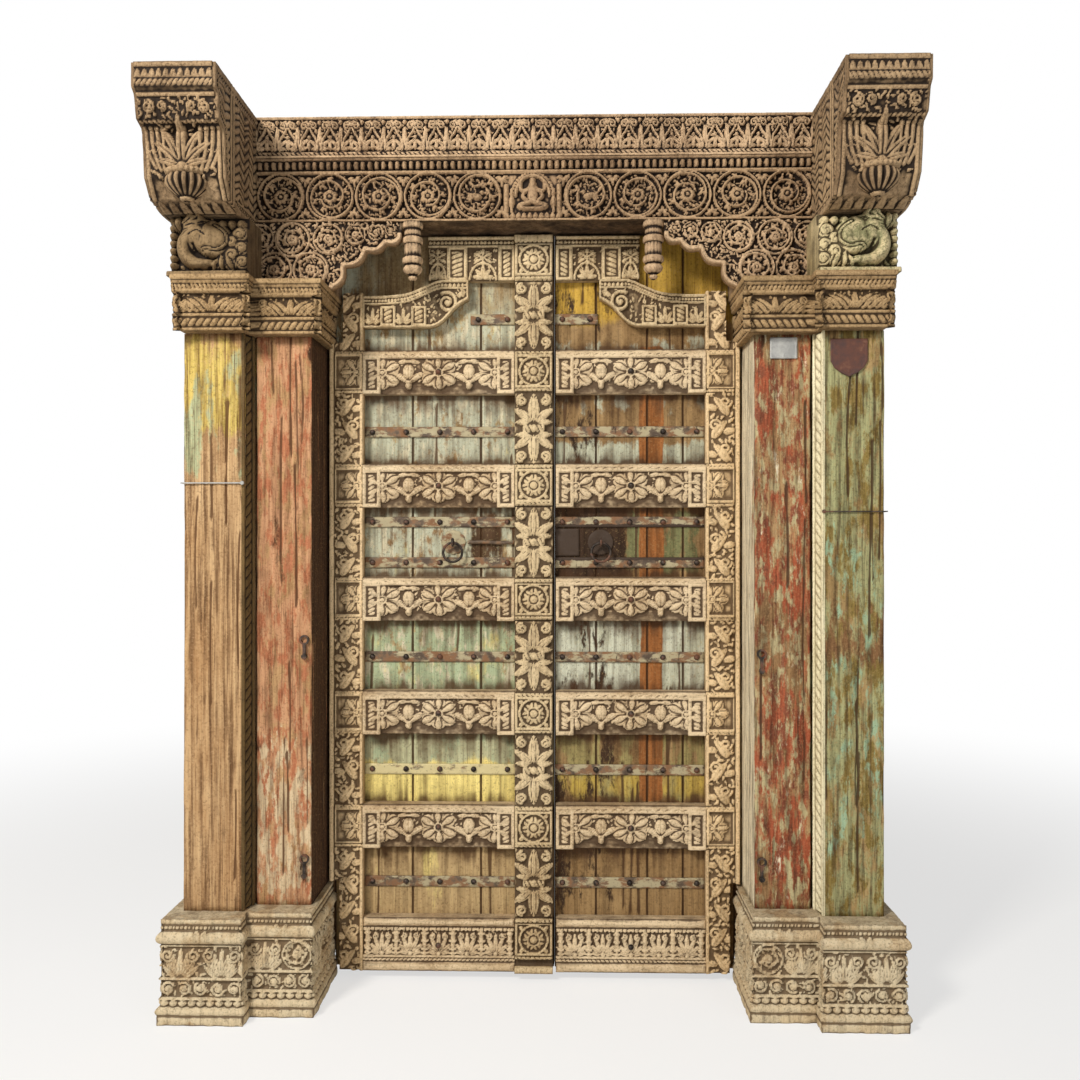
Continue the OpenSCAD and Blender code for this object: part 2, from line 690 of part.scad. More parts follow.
// Hinge post of the right leaf with its pivot pegs
module hinge_post_form() {
    translate([pivot_x, pivot_y, 0]) {
        translate([0, 0, post_z]) cylinder(r = post_r, h = plank_top - post_z);
        block([-post_flange, -plank_t / 2, post_z], [0, plank_t / 2, plank_top]);
        translate([0, 0, cup_h - peg_l + seat_gap]) cylinder(d = peg_d, h = peg_l + bite);
        translate([0, 0, plank_top - bite]) cylinder(d = peg_d, h = peg_l + rebate_gap);
    }
}

// Vertical planks of a leaf, from x0 to x1, lapped behind open joints
module plank_row(x0, x1, joints) {
    cuts = concat([x0], joints, [x1]);
    last = len(cuts) - 2;
    lip = 0.4 * plank_t;
    for (i = [0 : last]) {
        left = i == 0 ? 0 : 1;
        right = i == last ? 0 : 1;
        block([cuts[i] + left * joint_w / 2, plank_y, leaf_z],
              [cuts[i + 1] - right * joint_w / 2, plank_y + plank_t, plank_top]);
        block([cuts[i] + left * lap_gap / 2, plank_y + plank_t - lip, leaf_z],
              [cuts[i + 1] - right * lap_gap / 2, plank_y + plank_t, plank_top]);
    }
}

// Outline of the right hinge stile, stepped in beside plinth and capital
module stile_outline() {
    foot_step = plinth_h + notch_gap;
    head_step = capital_z - notch_gap;
    polygon([[rail_edge, leaf_z], [foot_edge, leaf_z], [foot_edge, foot_step], [stile_edge, foot_step],
             [stile_edge, head_step], [head_edge, head_step], [head_edge, stile_top],
             [rail_edge, stile_top]]);
}

// Right hinge stile with a flower block beside each rail
module hinge_stile_form() {
    back = stile_t - relief_mid;
    flower_x = rail_edge + 0.36 * stile_w;
    boss_r = 0.3 * stile_w;
    relief(plank_y - bite, back) stile_outline();
    relief(plank_y - back, relief_mid) for (k = [1 : rail_count])
        translate([flower_x - 0.34 * stile_w, rail_z(k) - 0.5 * rail_h]) square([0.68 * stile_w, rail_h]);
    relief(plank_y - stile_t, relief_low) for (k = [1 : rail_count])
        translate([flower_x, rail_z(k)]) flower(boss_r, 6);
    relief(plank_y - back, relief_low) for (k = [1 : rail_count + 1])
        translate([flower_x, panel_z(k) - 0.2 * rail_pitch]) {
            leaf(0.4 * rail_pitch, 0.44 * stile_w);
            for (side = [-1, 1]) translate([0, 0.12 * rail_pitch]) rotate(side * 30)
                leaf(0.16 * rail_pitch, 0.2 * stile_w);
        }
}

// Meeting bar on the left leaf: flower blocks with hourglass leaves between
module meeting_bar() {
    back = bar_t - relief_high;
    boss_r = 0.36 * bar_w;
    block_h = 0.62 * rail_pitch;
    waist = 0.82 * bar_w;
    color(old_wood) {
        block([-bar_edge, plank_y - back, leaf_z], [bar_edge, plank_y, carved_top]);
        for (k = [0 : rail_count + 1]) {
            low = max(leaf_z, rail_z(k) - block_h / 2);
            high = min(carved_top, rail_z(k) + block_h / 2);
            block([-bar_edge, plank_y - bar_t + relief_low, low], [bar_edge, plank_y - back + bite, high]);
            relief(plank_y - bar_t + relief_low, relief_low) translate([0, rail_z(k)]) {
                flat_ring(boss_r + relief_low, relief_low);
                flower(0.8 * boss_r, 8);
            }
        }
        relief(plank_y - back, relief_mid) for (k = [1 : rail_count + 1])
            translate([0, panel_z(k)]) for (turn = [0, 180]) rotate(turn)
                translate([0, -0.2 * rail_pitch]) leaf(0.3 * rail_pitch, 0.7 * waist);
    }
}

// A carved rail of height h about the height z, from the meeting edge x0 to the stile
module carved_rail(x0, z, h) {
    x1 = rail_edge;
    low = z - h / 2;
    high = z + h / 2;
    mid = (x0 + x1) / 2;
    ground_y = plank_y - rail_ground;
    flower_r = 0.5 * rail_h - fillet_h;
    flower_t = rail_t - rail_ground - rope_depth - bite;
    urn_x = 0.25 * (x1 - x0) - 0.5 * rail_end_w;
    block([x0, ground_y, low], [x1, plank_y, high]);
    block([x0 + rail_end_w - bite, rail_y + relief_mid, high - 2 * fillet_h],
          [x1 - rail_end_w + bite, ground_y + bite, high]);
    rail_end(x0, low, h);
    rail_end(x1 - rail_end_w, low, h);
    relief(ground_y, flower_t) for (x = [x0 + rail_end_w, mid, x1 - rail_end_w])
        translate([x, z]) flower(flower_r, 8);
    relief(ground_y, rail_t - rail_ground) translate([mid, z]) flower(0.5 * flower_r, 8);
    for (side = [-1, 1]) rail_urn(mid + side * urn_x, ground_y, low + fillet_h, 0.7 * rail_h);
}

// Roped panel at the end of a carved rail
module rail_end(x, low, h) {
    rim = 0.24 * rail_end_w;
    difference() {
        block([x, rail_y, low], [x + rail_end_w, plank_y - rail_ground + bite, low + h]);
        block([x + rim, rail_y - bite, low + rim],
              [x + rail_end_w - rim, rail_y + rope_depth, low + h - rim]);
    }
    relief(rail_y + rope_depth, 0.7 * rope_depth) translate([x + rim, low + rim])
        rope(rail_end_w - 2 * rim, h - 2 * rim, 5);
}

// Half of a turned urn on the ground of a rail
module rail_urn(x, y, z, h) {
    r = 0.2 * h;
    translate([x, y, z]) rotate_extrude()
        polygon([[0, 0], [0.5 * r, 0.06 * h], [0.3 * r, 0.16 * h], [r, 0.32 * h], [0.9 * r, 0.5 * h],
                 [0.4 * r, 0.6 * h], [0.95 * r, 0.75 * h], [0.95 * r, 0.9 * h], [0.5 * r, h], [0, h]]);
}

// Bottom rail from the meeting edge x0
module bottom_rail_form(x0) {
    carved_rail(x0, leaf_z + bottom_rail_h / 2, bottom_rail_h);
}

// Top rail from the meeting edge x0, with a flower and hanging leaves
module top_rail_form(x0) {
    x1 = bar_edge + top_rail_l;
    low = carved_top - rail_h;
    ground_y = plank_y - rail_ground;
    block([x0, ground_y, low], [x1, plank_y, carved_top]);
    block([x0, rail_y + relief_mid, carved_top - 3 * fillet_h], [x1, ground_y + bite, carved_top]);
    relief(ground_y, rail_t - rail_ground - relief_low) {
        translate([(x0 + x1) / 2, low + 0.44 * rail_h]) flower(0.38 * rail_h, 8);
        leaf_row(x0, x1, low + fillet_h, 0.4 * rail_h, 0.3 * rail_h);
    }
}

// Shaped corner piece below a top rail, from the stile to its scroll
module corner_piece_form() {
    x0 = rail_edge - corner_l;
    ground_y = plank_y - rail_ground;
    curl_r = 0.42 * corner_h;
    relief(plank_y - bite, rail_t - relief_mid) corner_outline(x0, corner_l);
    relief(ground_y, rail_t - rail_ground) {
        translate([x0 + curl_r, corner_z + corner_h - curl_r]) flat_ring(0.86 * curl_r, 0.3 * curl_r);
        translate([x0 + curl_r, corner_z + corner_h - curl_r]) circle(0.3 * curl_r);
        translate([rail_edge - rail_end_w, corner_z + 2 * fillet_h])
            square([0.7 * rail_end_w, 0.5 * corner_h]);
        for (i = [0 : 3]) translate([x0 + (0.36 + 0.12 * i) * corner_l, corner_z + 0.12 * corner_h])
            rotate(-24) leaf(0.58 * corner_h, 0.22 * corner_h);
    }
}

// Outline of a corner piece: low at the stile, swelling to a round scroll
module corner_outline(x0, l) {
    curl_r = 0.42 * corner_h;
    difference() {
        translate([x0 + curl_r, corner_z]) square([l - curl_r, corner_h]);
        translate([x0 + 1.02 * l, corner_z + 2.42 * corner_h]) circle(1.72 * corner_h);
        translate([x0 + 0.3 * l, corner_z - 0.5 * corner_h]) circle(0.66 * corner_h);
    }
    translate([x0 + curl_r, corner_z + corner_h - curl_r]) circle(curl_r);
}

// Straps of a leaf, each as its height and its outer end; the top one stops at the corner piece
function straps() = concat(
    [[panel_z(1) - strap_drop, rail_edge - corner_l - joint_w]],
    [for (k = [2 : rail_count + 1]) if (k != ring_panel) [panel_z(k) - strap_drop, rail_edge]],
    [for (side = [-1, 1]) [panel_z(ring_panel) + side * ring_panel_strap, rail_edge]]);

// Iron straps of a leaf from its meeting edge
module strap_row(edge) {
    for (strap = straps())
        block([edge, plank_y - strap_t, strap[0] - strap_h / 2], [strap[1], plank_y, strap[0] + strap_h / 2]);
}

// Flat latch bar between the left ring plate and the meeting bar
module latch_bar() {
    latch_h = 25;
    block([ring_x_left + ring_plate_d / 2 + joint_w, plank_y - strap_t, eye_z - latch_h / 2],
          [-bar_edge, plank_y, eye_z + latch_h / 2]);
}

// Lock plate on the meeting edge of the right leaf
module lock_plate() {
    lock_w = 70;
    lock_h = 2 * ring_panel_strap - strap_h - 2 * joint_w;
    block([right_edge, plank_y - strap_t, panel_z(ring_panel) - lock_h / 2],
          [right_edge + lock_w, plank_y, panel_z(ring_panel) + lock_h / 2]);
}

// One domed nail with its shank, standing on the plane y
module nail(x, y, z, shank) {
    dome_r = (pow(nail_d / 2, 2) + pow(nail_dome, 2)) / (2 * nail_dome);
    translate([x, y, z]) rotate([90, 0, 0]) {
        intersection() {
            translate([0, 0, nail_dome - dome_r]) sphere(dome_r);
            cylinder(d = 2 * nail_d, h = 2 * nail_dome);
        }
        translate([0, 0, -shank]) cylinder(d = nail_shank_d, h = shank + 0.4 * nail_dome);
    }
}

// Nails of a leaf: along the straps and in the flowers of the rails
module nail_row(edge, rail_x) {
    inset = 22;
    nail_step = 100;
    for (strap = straps()) {
        span = strap[1] - edge - 2 * inset;
        count = max(1, round(span / nail_step));
        for (i = [0 : count])
            nail(edge + inset + i * span / count, plank_y - strap_t, strap[0], strap_t + nail_hold);
    }
    for (k = [1 : rail_count]) nail((rail_x + rail_edge) / 2, rail_y, rail_z(k), rail_t + nail_hold);
    nail((rail_x + rail_edge) / 2, rail_y, leaf_z + bottom_rail_h / 2, rail_t + nail_hold);
}

// Eye on a shank, in which a pull ring hangs, at the middle x
module ring_eye_form(x) {
    translate([x, eye_y, eye_z]) {
        rotate([0, 90, 0]) rotate_extrude() translate([eye_r, 0]) circle(d = eye_wire);
        translate([0, eye_r, 0]) rotate([-90, 0, 0])
            cylinder(d = eye_wire, h = plank_y + nail_hold - eye_y - eye_r);
    }
}

// Pull ring at the middle x, hanging in its eye
module pull_ring_form(x) {
    translate([x, eye_y, ring_top_z - ring_mean_r]) rotate([90, 0, 0])
        rotate_extrude() translate([ring_mean_r, 0]) circle(d = ring_wire);
}

// Scalloped plate behind the left ring
module ring_plate_left() {
    color(iron) translate([ring_x_left, plank_y, eye_z]) rotate([90, 0, 0]) difference() {
        linear_extrude(ring_plate_t) flower(ring_plate_d / 2, 10);
        translate([0, 0, -bite]) cylinder(d = eye_wire, h = ring_plate_t + 2 * bite);
    }
}

// Round plate behind the right ring
module ring_plate_right() {
    color(iron) translate([ring_x_right, plank_y, eye_z]) rotate([90, 0, 0]) difference() {
        cylinder(d = ring_plate_d, h = ring_plate_t);
        translate([0, 0, -bite]) cylinder(d = eye_wire, h = ring_plate_t + 2 * bite);
    }
}

// Middle of each leaf's first joints between planks
left_joints = [-0.609 * plank_edge, -0.266 * plank_edge];
right_joints = [0.31 * plank_edge, 0.565 * plank_edge, 0.743 * plank_edge];
eye_heights_left = [shaft_z + 0.455 * shaft_h, shaft_z + 0.07 * shaft_h];
eye_heights_right = [shaft_z + 0.432 * shaft_h, shaft_z + 0.07 * shaft_h];
wire_z_left = shaft_z + 0.74 * shaft_h;
wire_z_right = shaft_z + 0.69 * shaft_h;

module plinth_right() { color(old_wood) plinth_form(); }
module plinth_left() { color(old_wood) mirror([1, 0, 0]) plinth_form(); }
module outer_pilaster_right() { color(green_wood) pilaster_form(); }
module outer_pilaster_left() { color(old_wood) mirror([1, 0, 0]) pilaster_form(); }
module inner_jamb_right() { color(red_wood) jamb_form(); }
module inner_jamb_left() { color(red_wood) mirror([1, 0, 0]) jamb_form(); }
module capital_right() { color(old_wood) capital_form(); }
module capital_left() { color(old_wood) mirror([1, 0, 0]) capital_form(); }
module lower_bracket_right() { color(green_wood) lower_bracket_form(); }
module lower_bracket_left() { color(dark_wood) mirror([1, 0, 0]) lower_bracket_form(); }
module upper_bracket_right() { color(dark_wood) upper_bracket_form(); }
module upper_bracket_left() { color(dark_wood) mirror([1, 0, 0]) upper_bracket_form(); }
module frieze_beam() { color(dark_wood) frieze_form(); }
module scroll_lintel() { color(dark_wood) lintel_form(); }
module spandrel_right() { color(dark_wood) spandrel_form(); }
module spandrel_left() { color(dark_wood) mirror([1, 0, 0]) spandrel_form(); }
module pendant_right() { color(dark_wood) pendant_form(); }
module pendant_left() { color(dark_wood) mirror([1, 0, 0]) pendant_form(); }
module pivot_cup_right() { color(iron) pivot_cup_form(); }
module pivot_cup_left() { color(iron) mirror([1, 0, 0]) pivot_cup_form(); }
module wire_tie_right() { color(iron) wire_form(wire_z_right); }
module wire_tie_left() { color(pale_metal) mirror([1, 0, 0]) wire_form(wire_z_left); }
module jamb_eyes_right() { color(iron) jamb_eyes_form(eye_heights_right); }
module jamb_eyes_left() { color(iron) mirror([1, 0, 0]) jamb_eyes_form(eye_heights_left); }
module hinge_post_right() { color(dark_wood) hinge_post_form(); }
module hinge_post_left() { color(dark_wood) mirror([1, 0, 0]) hinge_post_form(); }
module planks_right() { color(plank_paint) plank_row(right_edge, plank_edge, right_joints); }
module planks_left() { color(plank_paint) plank_row(-plank_edge, plank_split - meeting_room, left_joints); }
module hinge_stile_right() { color(old_wood) hinge_stile_form(); }
module hinge_stile_left() { color(old_wood) mirror([1, 0, 0]) hinge_stile_form(); }
module top_rail_right() { color(old_wood) top_rail_form(carved_edge); }
module top_rail_left() { color(old_wood) mirror([1, 0, 0]) top_rail_form(bar_edge); }
module corner_piece_right() { color(old_wood) corner_piece_form(); }
module corner_piece_left() { color(old_wood) mirror([1, 0, 0]) corner_piece_form(); }
module rail_right(k) { color(old_wood) carved_rail(carved_edge, rail_z(k), rail_h); }
module rail_left(k) { color(old_wood) mirror([1, 0, 0]) carved_rail(bar_edge, rail_z(k), rail_h); }
module bottom_rail_right() { color(old_wood) bottom_rail_form(carved_edge); }
module bottom_rail_left() { color(old_wood) mirror([1, 0, 0]) bottom_rail_form(bar_edge); }

module straps_right() {
    color(iron) {
        strap_row(right_edge);
        lock_plate();
    }
}

module straps_left() {
    color(iron) {
        mirror([1, 0, 0]) strap_row(bar_edge);
        latch_bar();
    }
}

module nails_right() { color(iron) nail_row(right_edge, carved_edge); }
module nails_left() { color(iron) mirror([1, 0, 0]) nail_row(bar_edge, bar_edge); }
module ring_eye_right() { color(iron) ring_eye_form(ring_x_right); }
module ring_eye_left() { color(iron) ring_eye_form(ring_x_left); }
module ring_right() { color(iron) pull_ring_form(ring_x_right); }
module ring_left() { color(iron) pull_ring_form(ring_x_left); }

plinth_left();
plinth_right();
outer_pilaster_left();
outer_pilaster_right();
inner_jamb_left();
inner_jamb_right();
capital_left();
capital_right();
lower_bracket_left();
lower_bracket_right();
upper_bracket_left();
upper_bracket_right();
frieze_beam();
scroll_lintel();
spandrel_left();
spandrel_right();
pendant_left();
pendant_right();
head_rail();
pivot_cup_left();
pivot_cup_right();
tag_plate();
shield_plate();
wire_tie_left();
wire_tie_right();
jamb_eyes_left();
jamb_eyes_right();
hinge_post_left();
planks_left();
hinge_stile_left();
meeting_bar();
top_rail_left();
corner_piece_left();
rail_left(1);  // rail_left_1
rail_left(2);  // rail_left_2
rail_left(3);  // rail_left_3
rail_left(4);  // rail_left_4
rail_left(5);  // rail_left_5
bottom_rail_left();
straps_left();
nails_left();
ring_plate_left();
ring_eye_left();
ring_left();
hinge_post_right();
planks_right();
hinge_stile_right();
top_rail_right();
corner_piece_right();
rail_right(1);  // rail_right_1
rail_right(2);  // rail_right_2
rail_right(3);  // rail_right_3
rail_right(4);  // rail_right_4
rail_right(5);  // rail_right_5
bottom_rail_right();
straps_right();
nails_right();
ring_plate_right();
ring_eye_right();
ring_right();
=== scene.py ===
"""Looks of a carved temple door: carved timber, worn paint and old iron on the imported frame."""

import math

import bpy
import numpy as np
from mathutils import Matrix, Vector


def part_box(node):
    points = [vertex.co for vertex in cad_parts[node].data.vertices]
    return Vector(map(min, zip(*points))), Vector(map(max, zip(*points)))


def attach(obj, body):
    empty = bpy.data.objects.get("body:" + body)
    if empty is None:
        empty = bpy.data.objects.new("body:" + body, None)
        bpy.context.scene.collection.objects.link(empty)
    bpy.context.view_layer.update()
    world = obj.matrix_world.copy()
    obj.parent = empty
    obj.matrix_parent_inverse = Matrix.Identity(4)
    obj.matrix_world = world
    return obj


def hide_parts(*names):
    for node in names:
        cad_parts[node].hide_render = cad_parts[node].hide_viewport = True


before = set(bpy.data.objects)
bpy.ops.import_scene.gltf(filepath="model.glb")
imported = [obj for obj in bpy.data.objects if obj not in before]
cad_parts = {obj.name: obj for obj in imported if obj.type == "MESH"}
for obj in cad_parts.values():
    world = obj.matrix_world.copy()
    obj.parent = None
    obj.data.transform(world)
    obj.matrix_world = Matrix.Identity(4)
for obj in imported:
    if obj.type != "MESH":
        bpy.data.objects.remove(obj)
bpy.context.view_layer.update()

bl_info = {
    "name": "Carved Temple Door",
    "version": (1, 0, 0),
    "blender": (4, 5, 0),
    "location": "View3D > Sidebar > Door",
    "description": "Carves the timber, paints the boards and forges the ironwork of a double door",
    "category": "Object",
}

MM = 0.001
LEFT, RIGHT = -1, 1
SIDE_NAME = {LEFT: "left", RIGHT: "right"}
HANDS = (1, -1)                             # the two halves of a mirrored ornament
FRONT = ((1, 0, 0), (0, 0, 1), (0, -1, 0))  # across, up and out of a face that looks to the front
CLEAR = 0.2                                 # how far carving stays behind the CAD face, in millimetres
DULL = -0.1                                 # shade of the plain faces beside and behind a carving
FULL_TURN = 2 * math.pi


def side_box(node, side=RIGHT):
    """Ends of a CAD node in millimetres as x0, x1, y0, y1, z0, z1, a left one turned over to the right."""
    low, high = (np.array(corner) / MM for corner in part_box(node))
    if side == LEFT:
        low[0], high[0] = -high[0], -low[0]
    return low[0], high[0], low[1], high[1], low[2], high[2]


def node_for(name, side):
    return f"{name}_{SIDE_NAME[side]}"


def tint(red, green, blue):
    """A display colour of 0 to 255 as the linear colour that a shader takes."""
    share = np.array([red, green, blue]) / 255.0
    linear = np.where(share <= 0.04045, share / 12.92, ((share + 0.055) / 1.055) ** 2.4)
    return (*[float(c) for c in linear], 1.0)


# ---- Carving: a height map in millimetres that strokes raise and cut


def spiral(cu, cv, start_r, end_r, turns, start, hand=1, points=26):
    """Points of a spiral; start is its first angle in degrees."""
    t = np.linspace(0, 1, points)
    angle = math.radians(start) + hand * 2 * math.pi * turns * t
    r = start_r + (end_r - start_r) * t
    return np.stack([cu + r * np.cos(angle), cv + r * np.sin(angle)], 1)


def wave(points, count=24):
    """A smooth curve through a few points."""
    p = np.asarray(points, float)
    t = np.linspace(0, len(p) - 1, count)
    k = np.clip(t.astype(int), 0, len(p) - 2)
    f = (t - k)[:, None]
    before, after = p[np.clip(k - 1, 0, len(p) - 1)], p[np.clip(k + 2, 0, len(p) - 1)]
    a, b = p[k], p[k + 1]
    return 0.5 * (2 * a + (b - before) * f + (2 * before - 5 * a + 4 * b - after) * f ** 2
                  + (3 * a - before - 3 * b + after) * f ** 3)


def crack(rng, u, v, run, middle, end):
    """A crack that wanders upwards; its middle and its end go aside by no more than that."""
    return wave([(u, v), (u + rng.uniform(-middle, middle), v + run / 2),
                 (u + rng.uniform(-end, end), v + run)], 8)


def half_round(cu, cv, wide, high, count):
    """Points of an arch from right to left."""
    return [(cu + wide * math.cos(a), cv + high * math.sin(a)) for a in np.linspace(0, math.pi, count)]


def lumps(rng, shape, rows, columns):
    """Smooth random hills from 0 to 1 on a grid."""
    grid = rng.random((rows + 2, columns + 2))
    y, x = np.linspace(0, rows, shape[0]), np.linspace(0, columns, shape[1])
    i, j = y.astype(int), x.astype(int)
    fy, fx = (y - i)[:, None], (x - j)[None, :]
    fy, fx = fy * fy * (3 - 2 * fy), fx * fx * (3 - 2 * fx)
    a, b = grid[i][:, j], grid[i][:, j + 1]
    c, d = grid[i + 1][:, j], grid[i + 1][:, j + 1]
    return (a * (1 - fx) + b * fx) * (1 - fy) + (c * (1 - fx) + d * fx) * fy


def blurred(values, reach_v, reach_u):
    """Values averaged over a small window, twice."""
    for _ in range(2):
        for axis, reach in ((0, reach_v), (1, reach_u)):
            if reach < 1:
                continue
            pad = [(0, 0), (0, 0)]
            pad[axis] = (reach + 1, reach)
            total = np.cumsum(np.pad(values, pad, mode="edge"), axis=axis)
            size, window = values.shape[axis], 2 * reach + 1
            upper = np.take(total, np.arange(window, window + size), axis=axis)
            lower = np.take(total, np.arange(0, size), axis=axis)
            values = (upper - lower) / window
    return values


def swell(d):
    """A round back: 1 where the squared distance d is 0, falling to 0 at 1."""
    return np.sqrt(np.clip(1 - d, 0, 1))


class Carving:
    """A height map over a flat drawing, u across and v up, all in millimetres."""

    def __init__(self, u, v, ground=0.0):
        self.u, self.v = np.asarray(u, float), np.asarray(v, float)
        self.U, self.V = np.meshgrid(self.u, self.v)
        self.h = np.full(self.U.shape, float(ground))
        # grime and painted shade laid on the carving; a negative value is painted light
        self.soot = np.zeros(self.U.shape)

    @classmethod
    def sheet(cls, width, height, step, step_v=None, ground=0.0):
        """A carving on an even grid."""
        across = max(3, int(round(width / step)) + 1)
        up = max(3, int(round(height / (step_v or step))) + 1)
        return cls(np.linspace(0, width, across), np.linspace(0, height, up), ground)

    def near(self, u0, u1, v0, v1):
        """The part of the grid inside a rectangle."""
        rows = slice(*np.searchsorted(self.v, (v0, v1 + 1e-6)))
        columns = slice(*np.searchsorted(self.u, (u0, u1 + 1e-6)))
        return rows, columns

    def around(self, cu, cv, reach):
        """The part of the grid round a point, and the distances from it across and up."""
        part = self.near(cu - reach, cu + reach, cv - reach, cv + reach)
        return part, self.U[part] - cu, self.V[part] - cv

    def lift(self, part, inside, height):
        """Raises what lies lower than height."""
        old = self.h[part]
        self.h[part] = np.where(inside, np.maximum(old, height), old)

    def dome(self, cu, cv, r, high, ground=0.0, tall=1.0):
        part = self.near(cu - r, cu + r, cv - r * tall, cv + r * tall)
        d = ((self.U[part] - cu) / r) ** 2 + ((self.V[part] - cv) / (r * tall)) ** 2
        self.lift(part, d < 1, ground + high * swell(d))

    def ring(self, cu, cv, r, wide, high, ground=0.0):
        part, du, dv = self.around(cu, cv, r + wide / 2)
        d = np.abs(np.hypot(du, dv) - r) / (wide / 2)
        self.lift(part, d < 1, ground + high * swell(d * d))

    def petal(self, cu, cv, angle, long, wide, high, ground=0.0, start=0.0, rib=0.3, curl=0.0, lines=(),
              blunt=0.8):
        """A petal with a sunk rib, from start outwards; lines are outlines cut inside it."""
        a = math.radians(angle)
        part, du, dv = self.around(cu, cv, start + long + wide)
        s = (du * math.cos(a) + dv * math.sin(a) - start) / long
        along = np.clip(s, 0, 1)
        t = dv * math.cos(a) - du * math.sin(a) - curl * long * along ** 2
        half = 0.5 * wide * np.sin(np.pi * along ** blunt) ** 0.7 + 1e-6
        height = high * (0.45 + 0.55 * np.sin(np.pi * along ** 0.7)) * swell((t / half) ** 2)
        height = height - rib * high * np.exp(-(t / (0.13 * wide)) ** 2)
        for place in lines:
            height = height - 0.4 * high * np.exp(-((np.abs(t) / half - place) / 0.15) ** 2)
        self.lift(part, (s > 0) & (s < 1) & (np.abs(t) < half), ground + height)

    def distance(self, points, pad):
        """Part of the grid near a line, its distance from that line, and how far along the line it lies."""
        p = np.asarray(points, float)
        low, high = p.min(0) - pad, p.max(0) + pad
        part = self.near(low[0], high[0], low[1], high[1])
        U, V = self.U[part], self.V[part]
        best, share = np.full(U.shape, 1e9), np.zeros(U.shape)
        for k in range(len(p) - 1):
            a, ab = p[k], p[k + 1] - p[k]
            t = np.clip(((U - a[0]) * ab[0] + (V - a[1]) * ab[1]) / (ab @ ab + 1e-9), 0, 1)
            d = np.hypot(U - a[0] - t * ab[0], V - a[1] - t * ab[1])
            share = np.where(d < best, (k + t) / (len(p) - 1), share)
            best = np.minimum(best, d)
        return part, best, share

    def stroke(self, points, wide, high, ground=0.0, end=1.0):
        """A rounded cord along a line; end is the share of its width at the far end."""
        part, d, share = self.distance(points, wide / 2)
        d = d / (0.5 * wide * (1 + (end - 1) * share))
        self.lift(part, d < 1, ground + high * swell(d * d))

    def groove(self, points, wide, deep):
        part, d, _ = self.distance(points, wide / 2)
        self.h[part] -= deep * np.clip(1 - (2 * d / wide) ** 2, 0, 1)

    def inset(self, u0, u1, v0, v1):
        """The grid inside a rectangle, and how far inside each point lies."""
        part = self.near(u0, u1, v0, v1)
        U, V = self.U[part], self.V[part]
        return part, np.minimum(np.minimum(U - u0, u1 - U), np.minimum(V - v0, v1 - V))

    def slab(self, u0, u1, v0, v1, high, bevel=2.5):
        """A flat field raised to high."""
        part, d = self.inset(u0, u1, v0, v1)
        self.lift(part, d >= 0, high - bevel * 0.6 * np.clip(1 - d / bevel, 0, 1))

    def sink(self, u0, u1, v0, v1, low, bevel=2.5):
        """A flat field lowered to low."""
        part, d = self.inset(u0, u1, v0, v1)
        share = np.clip(d / bevel, 0, 1)
        self.h[part] = np.minimum(self.h[part], self.h[part] * (1 - share) + low * share)

    def frame(self, u0, u1, v0, v1, wide, high):
        """A raised border round a field."""
        part, d = self.inset(u0, u1, v0, v1)
        d = d / wide
        self.lift(part, (d >= 0) & (d < 1), high * (0.75 + 0.25 * np.sin(np.pi * np.clip(d, 0, 1))))

    def band(self, u0, u1, v0, v1, pitch, upright=False):
        """The grid inside a band, counted in repeats along it and in its breadth across it."""
        part = self.near(u0, u1, v0, v1)
        along, across = self.U[part] - u0, self.V[part] - v0
        length, breadth = u1 - u0, v1 - v0
        if upright:
            along, across, length, breadth = across, along, breadth, length
        step = length / max(1, round(length / pitch))
        return part, along / step, across / breadth

    def beads(self, u0, u1, v0, v1, pitch, high, ground=0.0, upright=False):
        part, along, across = self.band(u0, u1, v0, v1, pitch, upright)
        d = ((along % 1 - 0.5) / 0.47) ** 2 + ((across - 0.5) / 0.5) ** 2
        self.lift(part, d < 1, ground + high * swell(d))

    def rope(self, u0, u1, v0, v1, pitch, high, ground=0.0, lean=1.0, upright=False):
        part, along, across = self.band(u0, u1, v0, v1, pitch, upright)
        strand = np.sqrt(np.abs(np.sin(np.pi * (along + lean * across))))
        back = np.sin(np.pi * np.clip(across, 0.06, 0.94)) ** 0.5
        self.lift(part, strand > 0.3, ground + high * strand * back)

    def teeth(self, u0, u1, v0, v1, pitch, high, share=0.6, ground=0.0):
        part, along, across = self.band(u0, u1, v0, v1, pitch)
        d = np.abs(along % 1 - 0.5) / (0.5 * share)
        self.lift(part, (d < 1) & (across > 0.05) & (across < 0.95), ground + high * (1 - 0.25 * d ** 3))

    def lotus(self, u0, u1, v0, v1, pitch, high, ground=0.0):
        """A row of pointed petals side by side."""
        part, along, across = self.band(u0, u1, v0, v1, pitch)
        t, x = np.clip(across, 0, 1), along % 1 - 0.5
        half = 0.48 * np.cos(0.5 * np.pi * t) ** 0.6 + 1e-6
        bowl = swell((x / half) ** 2) * (1 - 0.35 * t)
        self.lift(part, np.abs(x) < half, ground + high * (bowl - 0.3 * np.exp(-(x / 0.09) ** 2)))

    def roll(self, v0, v1, high, ground=0.0, u0=-1e6, u1=1e6):
        """A half-round moulding."""
        part = self.near(u0, u1, v0, v1)
        t = (self.V[part] - v0) / (v1 - v0)
        self.lift(part, t >= 0, ground + high * swell((2 * t - 1) ** 2))

    def rosette(self, cu, cv, r, petals, high, ground=0.0, turn=0.0, heart=0.26, rib=0.3):
        """A round flower with a domed heart."""
        for k in range(petals):
            self.petal(cu, cv, turn + k * 360 / petals, 0.8 * r, 4.87 * r / petals, high, ground,
                       start=0.2 * r, rib=rib)
        self.dome(cu, cv, heart * r, 1.15 * high, ground)

